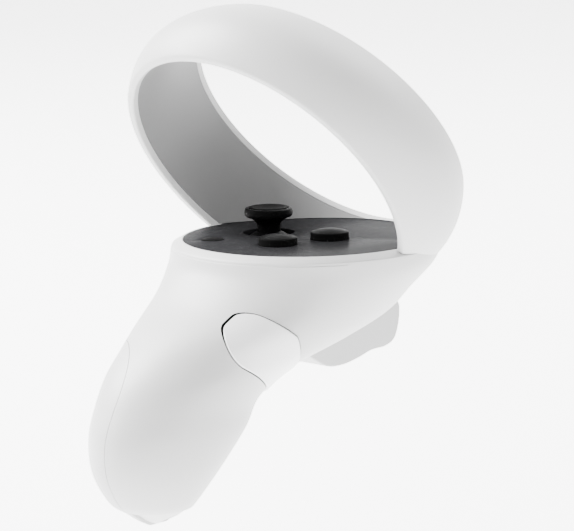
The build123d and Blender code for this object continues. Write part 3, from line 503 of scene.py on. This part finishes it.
def smooth_rows(rows, steps=ROW_STEPS):
    """Rows between the given ones, on a curve through all of them."""
    path = []
    last = len(rows) - 1
    for i in range(last):
        p0, p1, p2, p3 = (Vector(rows[min(max(j, 0), last)]) for j in (i - 1, i, i + 1, i + 2))
        for k in range(steps):
            t = k / steps
            path.append(tuple(0.5 * (
                2 * p1 + t * (p2 - p0) + t * t * (2 * p0 - 5 * p1 + 4 * p2 - p3)
                + t ** 3 * (3 * p1 - p0 - 3 * p2 + p3)
            )))
    return path + [tuple(rows[-1])]


def ellipse(z, y, a, b):
    """A level ring of the body."""
    return lambda angle: (a * cos(angle), y + b * sin(angle), z)


outer_rows = smooth_rows(body_rows)
print("sections:", len(outer_rows), "down to z =", round(outer_rows[-1][0], 1), "mm")


def row_at(z):
    """The body's section at any height."""
    for high, low in zip(outer_rows, outer_rows[1:]):
        if low[0] <= z <= high[0]:
            t = (z - low[0]) / (high[0] - low[0])
            return [q + t * (p - q) for p, q in zip(high[1:], low[1:])]
    return outer_rows[0][1:] if z > outer_rows[0][0] else outer_rows[-1][1:]


# %% [markdown]
# Cutting leaves long thin triangles, which would shade in streaks. So the pieces that are cut from
# the body take their shading from the sections themselves, wherever a corner lies on the skin.

# %% Directions out of the skin
NORMAL_STEP = 0.15
NORMAL_REACH = 0.35
NORMAL_TOP = -LIP_DROP - 0.05
NORMAL_FOOT = -BODY_DROP + 0.6


def body_normal(point, reach=NORMAL_REACH):
    """The direction out of the body's skin, or None away from it."""
    x, y, z = point
    if z > NORMAL_TOP or z < NORMAL_FOOT:
        return None

    def field(z_here):
        middle, a, b = row_at(z_here)
        return hypot(x / a, (y - middle) / b)

    middle, a, b = row_at(z)
    here = field(z)
    if abs(here - 1) * min(a, b) > reach:
        return None
    slope = (field(z + NORMAL_STEP) - field(z - NORMAL_STEP)) / (2 * NORMAL_STEP)
    return Vector((x / (a * a * here), (y - middle) / (b * b * here), slope)).normalized()


# %% [markdown]
# ## The casing
# The casing is one hollow skin: up the inside of the handle, over the ledge that carries the
# control face, across the sloping lip and down the outside. Handle shell and battery cover are
# then both cut from it, so that they meet in one clean seam.

# %% Casing skin
ledge_depth = PLATE_THICKNESS + LEDGE_THICKNESS
LEDGE_ROUND = 0.2
LAND_ROUNDS = (0.14, 0.25)
HEAD_ROUND = 0.55
HEAD_BLEND = 0.5


def casing_skin():
    """The whole casing, before it is parted."""
    inner = [inset_row(i, SHELL_WALL) for i in range(CAVITY_ROWS + 1)]
    share = (-ledge_depth - inner[0][0]) / (inner[1][0] - inner[0][0])
    inner[0] = tuple(p + share * (q - p) for p, q in zip(inner[0], inner[1]))
    rows = list(reversed(smooth_rows(inner)))
    lip = rounded((
        (PLATE_RADIUS + PLATE_GAP - LEDGE_WIDTH, -ledge_depth, 0),
        (PLATE_RADIUS + PLATE_GAP - LEDGE_WIDTH, -PLATE_THICKNESS, LEDGE_ROUND),
        (PLATE_RADIUS + PLATE_GAP, -PLATE_THICKNESS, 0),
        (PLATE_RADIUS + PLATE_GAP, 0, LAND_ROUNDS[0]),
        (PLATE_RADIUS + PLATE_GAP + LIP_LAND, 0, LAND_ROUNDS[1]),
        (HEAD_RADIUS, -LIP_DROP, HEAD_ROUND),
        (body_rows[1][2], body_rows[1][0], 0),
    ))
    rows += [(z, 0.0, radius, radius) for radius, z in lip[:-1]]
    rows += [row for row in outer_rows if row[0] < -LIP_DROP - HEAD_BLEND]
    return skin([ellipse(*row) for row in rows])


# %% [markdown]
# The cutters are plain prisms. Each follows the outline of the part that fills it: the rounded
# corner of the battery cover, and the drop shape of the grip button.

# %% Cutters
HANDLE_LEAN = radians(27.7)
FAR = 70.0
COVER_SEAM_X = 0.6
COVER_CORNER = 17.0
COVER_Y = -47.5
COVER_Z = -39.0
SEAM_GAP = 0.15
SEAM_STEPS = 40


def prism(points, name):
    """A closed prism between two copies of an outline, from pairs of end points."""
    bm = bmesh.new()
    low = [bm.verts.new(Vector(start) * MM) for start, end in points]
    face = bm.faces.new(low)
    made = bmesh.ops.extrude_face_region(bm, geom=[face])["geom"]
    high = [g for g in made if isinstance(g, bmesh.types.BMVert)]
    travel = (Vector(points[0][1]) - Vector(points[0][0])) * MM
    bmesh.ops.translate(bm, verts=high, vec=travel)
    bmesh.ops.recalc_face_normals(bm, faces=bm.faces)
    return to_object(bm, name)


def block(name, low, high):
    """A box between two corners."""
    bm = bmesh.new()
    bmesh.ops.create_cube(bm, size=1.0)
    size = Vector(high) - Vector(low)
    bmesh.ops.scale(bm, vec=size * MM, verts=bm.verts)
    bmesh.ops.translate(bm, vec=(Vector(high) + Vector(low)) / 2 * MM, verts=bm.verts)
    return to_object(bm, name)


def cover_prism(gap):
    """The battery cover's side of the seam; gap moves the seam outwards."""
    across = Vector((0, sin(HANDLE_LEAN), cos(HANDLE_LEAN)))
    through = Vector((0, -cos(HANDLE_LEAN), sin(HANDLE_LEAN)))
    corner = Vector((COVER_SEAM_X, COVER_Y, COVER_Z))
    outline = [(-FAR, -FAR), (gap, -FAR)]
    radius = COVER_CORNER + gap
    for i in range(SEAM_STEPS + 1):
        angle = pi / 2 * i / SEAM_STEPS
        outline.append((radius * cos(angle) - COVER_CORNER, radius * sin(angle)))
    outline.append((-FAR, radius))
    places = [corner + x * Vector((1, 0, 0)) + u * across for x, u in outline]
    return prism([(p - FAR * through, p + FAR * through) for p in places], "cover_prism")


# %% [markdown]
# The grip button's outline is the hull of four circles, each given by its centre's y and z and its
# radius. It is walked round in even steps, and each point knows its own way out, so that the
# straight sides can bend with the handle.

# %% Grip outline
GRIP_CIRCLES = ((-37.9, -18.9, 6.0), (-36.6, -15.6, 3.9), (-29.0, -18.6, 1.6), (-22.8, -31.8, 3.0))
GRIP_POINTS = 160
GRIP_FRONT_X = 6.2

grip_hull = []
for i in range(GRIP_POINTS + 1):
    out = Vector((cos(2 * pi * i / GRIP_POINTS), sin(2 * pi * i / GRIP_POINTS)))
    y, z, radius = max(GRIP_CIRCLES, key=lambda c: c[0] * out.x + c[1] * out.y + c[2])
    grip_hull.append((Vector((y, z)) + radius * out, out))
spans = [(q[0] - p[0]).length for p, q in zip(grip_hull, grip_hull[1:])]
way_round = sum(spans)
grip_outline = []
k, passed = 0, 0.0
for i in range(GRIP_POINTS):
    place = i * way_round / GRIP_POINTS
    while passed + spans[k] < place:
        passed += spans[k]
        k += 1
    share = (place - passed) / spans[k]
    grip_outline.append([p.lerp(q, share) for p, q in zip(grip_hull[k], grip_hull[k + 1])])
print("grip outline:", len(grip_outline), "points,", round(way_round, 1), "mm round")


def grip_prism():
    """The hole in which the grip button moves, from its front end to far on the right."""
    return prism([((GRIP_FRONT_X, *point), (FAR, *point)) for point, out in grip_outline], "grip_prism")


# %% [markdown]
# ## Handle shell and battery cover
# The handle shell loses the cover's side, the grip button's hole, the trigger's mouth and the
# corner where the strap's end piece sits. What is left keeps its wall, so the openings show a
# real thickness.

# %% Handle shell
TRIGGER_HALF = 9.0
TRIGGER_GAP = 0.4
TRIGGER_REAR = 13.0
TRIGGER_SWING = 2.0
TRIGGER_MOUTH_Z = -16.6
ANCHOR_DEPTH = 57.0
ANCHOR_GAP = 0.15
ANCHOR_INSET = 0.7

handle_shell = to_object(casing_skin(), "handle_shell")
cut(handle_shell, cover_prism(0.0))
cut(handle_shell, grip_prism())
mouth_half = TRIGGER_HALF + TRIGGER_GAP
mouth_rear = -TRIGGER_REAR - TRIGGER_SWING
cut(handle_shell, block("mouth", (-mouth_half, mouth_rear, -FAR), (mouth_half, FAR, TRIGGER_MOUTH_Z)))
end_corner = (COVER_SEAM_X + ANCHOR_GAP, -2 * FAR, -2 * FAR)
cut(handle_shell, block("end_corner", end_corner, (FAR, FAR, -ANCHOR_DEPTH)))
finished(handle_shell, "casing", "shell_plastic", ["grip_shell"], body_normal)

# %% Battery cover
cover_shell = to_object(casing_skin(), "cover_shell")
cut(cover_shell, cover_prism(-SEAM_GAP), "INTERSECT")
finished(cover_shell, "battery_cover", "shell_plastic", ["battery_cover"], body_normal)

# %% [markdown]
# ## The end piece
# A wrist strap is looped through a small insert at the handle's end. It follows the handle's
# shape a little further in, which leaves the shadow line that shows under the handle.

# %% End piece
STRAP_X = 3.4
STRAP_Y = -51.6
STRAP_RADIUS = 1.8
STRAP_SEGMENTS = 48


def circle(x, y, z, radius):
    """A level ring about any axis."""
    return lambda angle: (x + radius * cos(angle), y + radius * sin(angle), z)


end_rows = smooth_rows([inset_row(i, ANCHOR_INSET) for i in range(len(body_rows))])
end_piece = to_object(skin([ellipse(*row) for row in end_rows if row[0] < -FAR / 2]), "end_piece")
end_box = block("end_box", end_corner, (FAR, FAR, -ANCHOR_DEPTH - ANCHOR_GAP))
cut(end_piece, end_box, "INTERSECT")
strap_rings = [circle(STRAP_X, STRAP_Y, z, STRAP_RADIUS) for z in (-FAR, 0)]
cut(end_piece, to_object(skin(strap_rings, STRAP_SEGMENTS), "strap_hole"))
finished(end_piece, "casing", "anchor_plastic", ["strap_anchor"])

# %% [markdown]
# ## The grip button
# The middle finger squeezes this button. It stands half a millimetre proud of the handle, with
# a rounded edge that catches the light. Its rings follow the drop outline inwards, and each
# point sits on the handle's own skin, raised by the edge's profile.

# %% Grip button
GRIP_GAP = 0.28
GRIP_PROUD = 0.5
GRIP_WALL = 2.3
GRIP_EDGE = 0.5
GRIP_EDGE_STEPS = 6
GRIP_FRONT_SHARE = 0.55
GRIP_FILL_STEPS = 16
GRIP_FILL_END = 0.97
GRIP_CENTRE = (-31.5, -22.5)
GRIP_REACH = 0.8


def turn_on_body(y, z, front_x):
    """How far round the section at z the side point (y, z) lies; it stops at front_x on the front."""
    middle, a, b = row_at(z)
    return asin(min((y - middle) / b, (1 - (front_x / a) ** 2) ** 0.5))


def on_body(turn, z, height):
    """The point over the handle's skin at this turn and level."""
    middle, a, b = row_at(z)
    point = Vector((a * cos(turn), middle + b * sin(turn), z))
    return point + height * body_normal(point)


def grip_ring(inset, inward, height):
    """One ring of the grip button: the outline moved in by inset, then drawn towards the centre."""
    front_x = GRIP_FRONT_X + GRIP_FRONT_SHARE * (GRIP_GAP + inset)
    centre_y, centre_z = GRIP_CENTRE

    def ring(angle):
        point, out = grip_outline[round(angle / (2 * pi) * GRIP_POINTS) % GRIP_POINTS]
        y, z = point - (GRIP_GAP + inset) * out
        turn = turn_on_body(y, z, front_x)
        turn += inward * (turn_on_body(centre_y, centre_z, front_x) - turn)
        return on_body(turn, z + inward * (centre_z - z), height)

    return ring


grip_fill = [GRIP_FILL_END * i / GRIP_FILL_STEPS for i in range(1, GRIP_FILL_STEPS + 1)]
grip_back = GRIP_PROUD - GRIP_WALL
grip_rings = [grip_ring(GRIP_EDGE, inward, grip_back) for inward in reversed(grip_fill)]
grip_rings += [grip_ring(0, 0, grip_back)]
for i in range(GRIP_EDGE_STEPS + 1):
    angle = pi / 2 * i / GRIP_EDGE_STEPS
    grip_rings += [grip_ring(GRIP_EDGE * (1 - cos(angle)), 0, GRIP_PROUD - GRIP_EDGE * (1 - sin(angle)))]
grip_rings += [grip_ring(GRIP_EDGE, inward, GRIP_PROUD) for inward in grip_fill]
grip_pad = to_object(skin(grip_rings, GRIP_POINTS), "grip_pad")
finished(grip_pad, "grip_button", "grip_plastic", ["grip_button"],
         lambda point: body_normal(point, GRIP_REACH))

# %% [markdown]
# ## The trigger
# The trigger is a hollow shell that hangs from a pin inside the head. Its outline runs from the
# rear corner along a soft belly to a lip in front, in shares of its reach and its depth. It is
# extruded across the finger's width, its side edges get a large bevel, and a pocket hollows it.

# %% Trigger
TRIGGER_FRONT = 24.0
TRIGGER_LOW = 31.4
TRIGGER_ROUND = 2.2
TRIGGER_ROUND_STEPS = 8
TRIGGER_STEPS = 6
TRIGGER_WALL = 1.8
TRIGGER_ANGLE = 30
TRIGGER_UNDER_SHARES = (
    (-1.00, 0.790),
    (-0.60, 0.895),
    (-0.19, 0.984),
    (0.125, 1.000),
    (0.354, 0.975),
    (0.560, 0.937),
    (0.770, 0.930),
    (0.910, 0.885),
    (0.980, 0.770),
    (1.000, 0.640),
    (0.960, 0.570),
)
TRIGGER_TOP_SHARES = ((0.80, 0.560), (-0.62, 0.620))
POCKET_REAR_SHARE = 0.46
POCKET_FRONT_SHARE = 0.74
POCKET_DEPTH_SHARE = 0.80


def trigger_point(y_share, depth_share):
    """A point of the outline; shares of y below 0 count towards the rear corner."""
    reach = TRIGGER_REAR if y_share < 0 else TRIGGER_FRONT
    return y_share * reach, -depth_share * TRIGGER_LOW


trigger_rows = [(*trigger_point(*share), 0, 0) for share in TRIGGER_UNDER_SHARES]
trigger_outline = [(-TRIGGER_HALF, y, z) for y, z, _, _ in smooth_rows(trigger_rows, TRIGGER_STEPS)]
trigger_outline += [(-TRIGGER_HALF, *trigger_point(*share)) for share in TRIGGER_TOP_SHARES]
bm = bmesh.new()
side = bm.faces.new([bm.verts.new(Vector(p) * MM) for p in trigger_outline])
grown = bmesh.ops.extrude_face_region(bm, geom=[side])["geom"]
bmesh.ops.translate(
    bm, verts=[g for g in grown if isinstance(g, bmesh.types.BMVert)], vec=(2 * TRIGGER_HALF * MM, 0, 0)
)
bmesh.ops.recalc_face_normals(bm, faces=bm.faces)
rims = [edge for edge in bm.edges if abs(edge.verts[0].co.x - edge.verts[1].co.x) < MM / 10]
bmesh.ops.bevel(
    bm, geom=rims, offset=TRIGGER_ROUND * MM, segments=TRIGGER_ROUND_STEPS, profile=0.5, material=-1,
    affect="EDGES", clamp_overlap=True,
)
trigger_shell = to_object(bm, "trigger_shell")
pocket_half = TRIGGER_HALF - TRIGGER_WALL
cut(trigger_shell, block(
    "pocket",
    (-pocket_half, -POCKET_REAR_SHARE * TRIGGER_REAR, -POCKET_DEPTH_SHARE * TRIGGER_LOW),
    (pocket_half, POCKET_FRONT_SHARE * TRIGGER_FRONT, 0),
))
finished(trigger_shell, "trigger", "trigger_plastic", ["trigger"], angle=TRIGGER_ANGLE)

# %% [markdown]
# ## The tracking ring
# The band runs between two tilted rims and bulges half way. Its outer shell holds a thinner
# liner, clear to infrared, that hides the tracking lights. Both are rings of sections that are
# closed on themselves, cut where they meet the head. Each rim's row gives its tilt in degrees, its
# place in y and z, its outer radius and its thickness.

# %% Ring sections
RIM_LOW = (51.94, -14.60, 16.18, 39.06, 1.7)
RIM_HIGH = (50.03, 7.58, 28.15, 38.64, 2.8)
BAND_BULGE = 4.21
RING_WALL = 1.5
LINER_WALL = 1.0
LINER_MARGIN = 0.07
LINER_GAP = 0.08
LINER_STEPS = 8
RIM_ROUND = 0.55
STEP_ROUND = 0.1
RING_SEGMENTS = 224
RING_GAP = 0.12
BAND_STEPS = 24
STEP_STEPS = 10
band_width = hypot(RIM_HIGH[1] - RIM_LOW[1], RIM_HIGH[2] - RIM_LOW[2])


def between(u, index):
    """A value of the rims' rows, u of the way from the low rim to the high one."""
    return RIM_LOW[index] + u * (RIM_HIGH[index] - RIM_LOW[index])


def outside(u):
    """The outer radius of the band."""
    return between(u, 3) + BAND_BULGE * 4 * u * (1 - u)


def inside(u):
    """The inner radius of the band."""
    return between(u, 3) - between(u, 4)


def ring_place(u, radius, angle):
    """A point of the ring: u runs across the band, angle round it."""
    tilt = radians(between(u, 0))
    across = radius * sin(angle)
    y = between(u, 1) + across * cos(tilt)
    z = between(u, 2) - across * sin(tilt)
    return Vector((radius * cos(angle), y, z))


def ring_of(path):
    """Rings from a path of (distance across the band, radius) points."""
    return [lambda angle, s=s, r=r: ring_place(s / band_width, r, angle) for s, r in path]


def head_cutter():
    """Head and handle as one solid, grown by the gap to the ring."""
    land = PLATE_RADIUS + PLATE_GAP + LIP_LAND + RING_GAP
    rows = [(RING_GAP, 0.0, land, land)]
    rows += smooth_rows([inset_row(i, -RING_GAP) for i in range(len(body_rows))])
    return to_object(skin([ellipse(*row) for row in rows]), "head_cutter")


print("band:", round(band_width, 1), "mm wide")

# %% Ring shell
ends = [i / BAND_STEPS for i in range(1, BAND_STEPS)]
outer_path = [(0, inside(0), RIM_ROUND), (0, outside(0), RIM_ROUND)]
outer_path += [(u * band_width, outside(u), 0) for u in ends]
outer_path += [(band_width, outside(1), RIM_ROUND), (band_width, inside(1), RIM_ROUND)]
seat_low, seat_high = LINER_MARGIN, 1 - LINER_MARGIN
outer_path += [(seat_high * band_width, inside(seat_high), STEP_ROUND)]
seat_steps = [seat_high - (seat_high - seat_low) * i / STEP_STEPS for i in range(STEP_STEPS + 1)]
outer_path += [(u * band_width, outside(u) - RING_WALL, 0) for u in seat_steps]
outer_path += [(seat_low * band_width, inside(seat_low), STEP_ROUND), (0, inside(0), RIM_ROUND)]
ring_path = rounded(outer_path)[1:-1]
ring_path += rounded([outer_path[-2], outer_path[0], outer_path[1]])[1:-1]
ring_shell = to_object(skin(ring_of(ring_path), RING_SEGMENTS, closed=True), "ring_shell")
cut(ring_shell, head_cutter())
finished(ring_shell, "casing", "shell_plastic", ["ring_outer_shell"])

# %% Ring liner
liner_low = LINER_MARGIN + LINER_GAP / band_width
liner_steps = [liner_low + (1 - 2 * liner_low) * i / LINER_STEPS for i in range(LINER_STEPS + 1)]
liner_path = [(u * band_width, inside(u)) for u in liner_steps]
liner_path += [(u * band_width, inside(u) + LINER_WALL) for u in reversed(liner_steps)]
ring_liner = to_object(skin(ring_of(liner_path), RING_SEGMENTS, closed=True), "ring_liner")
cut(ring_liner, head_cutter())
finished(ring_liner, "casing", "liner_plastic", ["ring_inner_liner"])

# %% [markdown]
# ## The control face
# The face is a smooth disc with holes for the thumbstick and the buttons. The holes are cut
# first, and then every sharp edge is rounded a little, as a mould leaves it. Each button's row
# gives its place, its radius, how far its rim stands out and how far its dome rises above that.

# %% Face plate
STICK = (-11.5, -1.2)
STICK_HOLE = 6.35
BUTTON_RADIUS = 4.65
BUTTON_GAP = 0.12
HOLE_SEGMENTS = 96
PLATE_RIM = 1
PLATE_ROUNDS = (0.2, 0.22)
PLATE_SOFTNESS = 0.14
PLATE_SOFT_STEPS = 3
buttons = {
    "lower_button": (3.0, -13.0, BUTTON_RADIUS, 1.7, 0.8),
    "upper_button": (7.0, 0.9, BUTTON_RADIUS, 1.7, 0.8),
    "menu_button": (-14.6, -17.7, 2.75, 0.12, 0.13),
}

plate_profile = rounded((
    (PLATE_RADIUS - PLATE_RIM, -PLATE_THICKNESS, 0),
    (PLATE_RADIUS, -PLATE_THICKNESS, PLATE_ROUNDS[0]),
    (PLATE_RADIUS, 0, PLATE_ROUNDS[1]),
    (PLATE_RADIUS - PLATE_RIM, 0, 0),
))
plate = to_object(skin([circle(0, 0, z, radius) for radius, z in plate_profile]), "plate")
holes = [(*STICK, STICK_HOLE)]
holes += [(x, y, radius + BUTTON_GAP) for x, y, radius, _, _ in buttons.values()]
for x, y, radius in holes:
    hole = skin([circle(x, y, z, radius) for z in (-PLATE_THICKNESS * 2, PLATE_THICKNESS)], HOLE_SEGMENTS)
    cut(plate, to_object(hole, "hole"))
soften(plate, PLATE_SOFTNESS, PLATE_SOFT_STEPS)
finished(plate, "casing", "face_plastic", ["face_plate"])

# %% [markdown]
# ## Turned parts
# Buttons and thumbstick are round, so each is one profile spun about its own axis. The profile
# is drawn in millimetres from the axis outwards, with its corners already rounded.

# %% Spinning helper
SPIN_STEPS = 72


def turned(name, x, y, points):
    """A closed round part: a profile of (radius, z, corner radius), spun about an upright axis."""
    bm = bmesh.new()
    verts = [bm.verts.new(Vector((x + radius, y, z)) * MM) for radius, z in rounded(points)]
    edges = [bm.edges.new(pair) for pair in zip(verts, verts[1:])]
    bmesh.ops.spin(
        bm, geom=verts + edges, cent=Vector((x, y, 0)) * MM, axis=(0, 0, 1), dvec=(0, 0, 0),
        angle=2 * pi, steps=SPIN_STEPS, use_merge=True,
    )
    bmesh.ops.remove_doubles(bm, verts=bm.verts, dist=MM / 1000)
    bmesh.ops.recalc_face_normals(bm, faces=bm.faces)
    return to_object(bm, name)


# %% Push buttons
DOME_STEPS = 9
RIM_ROUND_LIMIT = 0.35
RIM_ROUND_PER_RISE = 3
FLANGE_TOP = -2.1
FLANGE_BOTTOM = -3.1
FLANGE_WIDTH = 0.75
FLANGE_ROUND = 0.1
PLUNGER_SHARE = 0.36
PLUNGER_END = -8.95

for name, (x, y, radius, rise, crown) in buttons.items():
    plunger = radius * PLUNGER_SHARE
    dome = []
    for i in range(DOME_STEPS):
        share = i / DOME_STEPS
        dome.append((radius * share, rise + crown * (1 - share ** 2), 0))
    cap = turned(name + "_cap", x, y, dome + [
        (radius, rise, min(RIM_ROUND_LIMIT, rise * RIM_ROUND_PER_RISE)),
        (radius, FLANGE_TOP, 0),
        (radius + FLANGE_WIDTH, FLANGE_TOP, FLANGE_ROUND),
        (radius + FLANGE_WIDTH, FLANGE_BOTTOM, FLANGE_ROUND),
        (plunger, FLANGE_BOTTOM, 0),
        (plunger, PLUNGER_END, FLANGE_ROUND),
        (0, PLUNGER_END, 0),
    ])
    finished(cap, name, "button_plastic", [name])

# %% [markdown]
# The thumbstick is a mushroom: a thin cap with a rolled edge, a stem that widens into a dome
# under the control face, and a soft dished pad on top that grips the thumb. The rows of its
# profiles are a radius, a height and a corner radius, from the top down and back up inside.

# %% Thumbstick
CAP_PROFILE = (
    (0, 5.8, 0),
    (4.9, 5.8, 0),
    (5.05, 6.15, 0.15),
    (5.75, 6.05, 0.5),
    (6.0, 4.9, 0.8),
    (5.75, 4.05, 0.8),
    (4.1, 3.4, 0.8),
    (2.9, 2.4, 0.8),
)
STEM_PROFILE = (
    (2.9, -0.8, 0),
    (2.0, -3.0, 0),
    (2.0, -5.6, 0),
    (1.45, -5.6, 0),
    (1.45, -0.3, 0),
    (0, -0.3, 0),
)
PIVOT_Z = -7.4
SKIRT_RADIUS = 8.2
SKIRT_REACH = (2.9, 5.9)
SKIRT_STEPS = 8
SKIRT_LOW = -2.35
SKIRT_WALL = 0.8
SKIRT_ROUND = 0.1

skirt = []
for i in range(SKIRT_STEPS + 1):
    reach = SKIRT_REACH[0] + (SKIRT_REACH[1] - SKIRT_REACH[0]) * i / SKIRT_STEPS
    skirt.append((reach, PIVOT_Z + (SKIRT_RADIUS ** 2 - reach ** 2) ** 0.5, 0))
skirt_edge = (SKIRT_RADIUS ** 2 - (SKIRT_LOW - PIVOT_Z) ** 2) ** 0.5
skirt += [(skirt_edge, SKIRT_LOW, SKIRT_ROUND), (skirt_edge - SKIRT_WALL, SKIRT_LOW, 0)]

stick_cap = turned("stick_cap", *STICK, [*CAP_PROFILE, *skirt, *STEM_PROFILE])
finished(stick_cap, "thumbstick", "stick_plastic", ["thumbstick"])

# %% Thumb pad
DISH_LOW = 5.9
DISH_DEPTH = 0.5
DISH_RADIUS = 4.3
DISH_STEPS = 9
PAD_EDGE = ((4.9, 6.3, 0.3), (4.9, 5.82, 0), (0, 5.82, 0))

dish = []
for i in range(DISH_STEPS + 1):
    share = i / DISH_STEPS
    dish.append((DISH_RADIUS * share, DISH_LOW + DISH_DEPTH * share ** 2, 0))
stick_pad = turned("stick_pad", *STICK, [*dish, *PAD_EDGE])
finished(stick_pad, "thumbstick", "stick_rubber", ["thumbstick_pad"])

# %% [markdown]
# ## Last sizes
# The size of the finished model is written beside the size of the frame, so that the two can
# be compared. The dressed model should fill the frame's box and hardly pass it.

# %% Sizes
seen_box = [list(corner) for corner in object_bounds()]
for title, box in (("frame box:", cad_box), ("model box:", seen_box)):
    print(title, [[round(c / MM, 1) for c in corner] for corner in box], "mm")
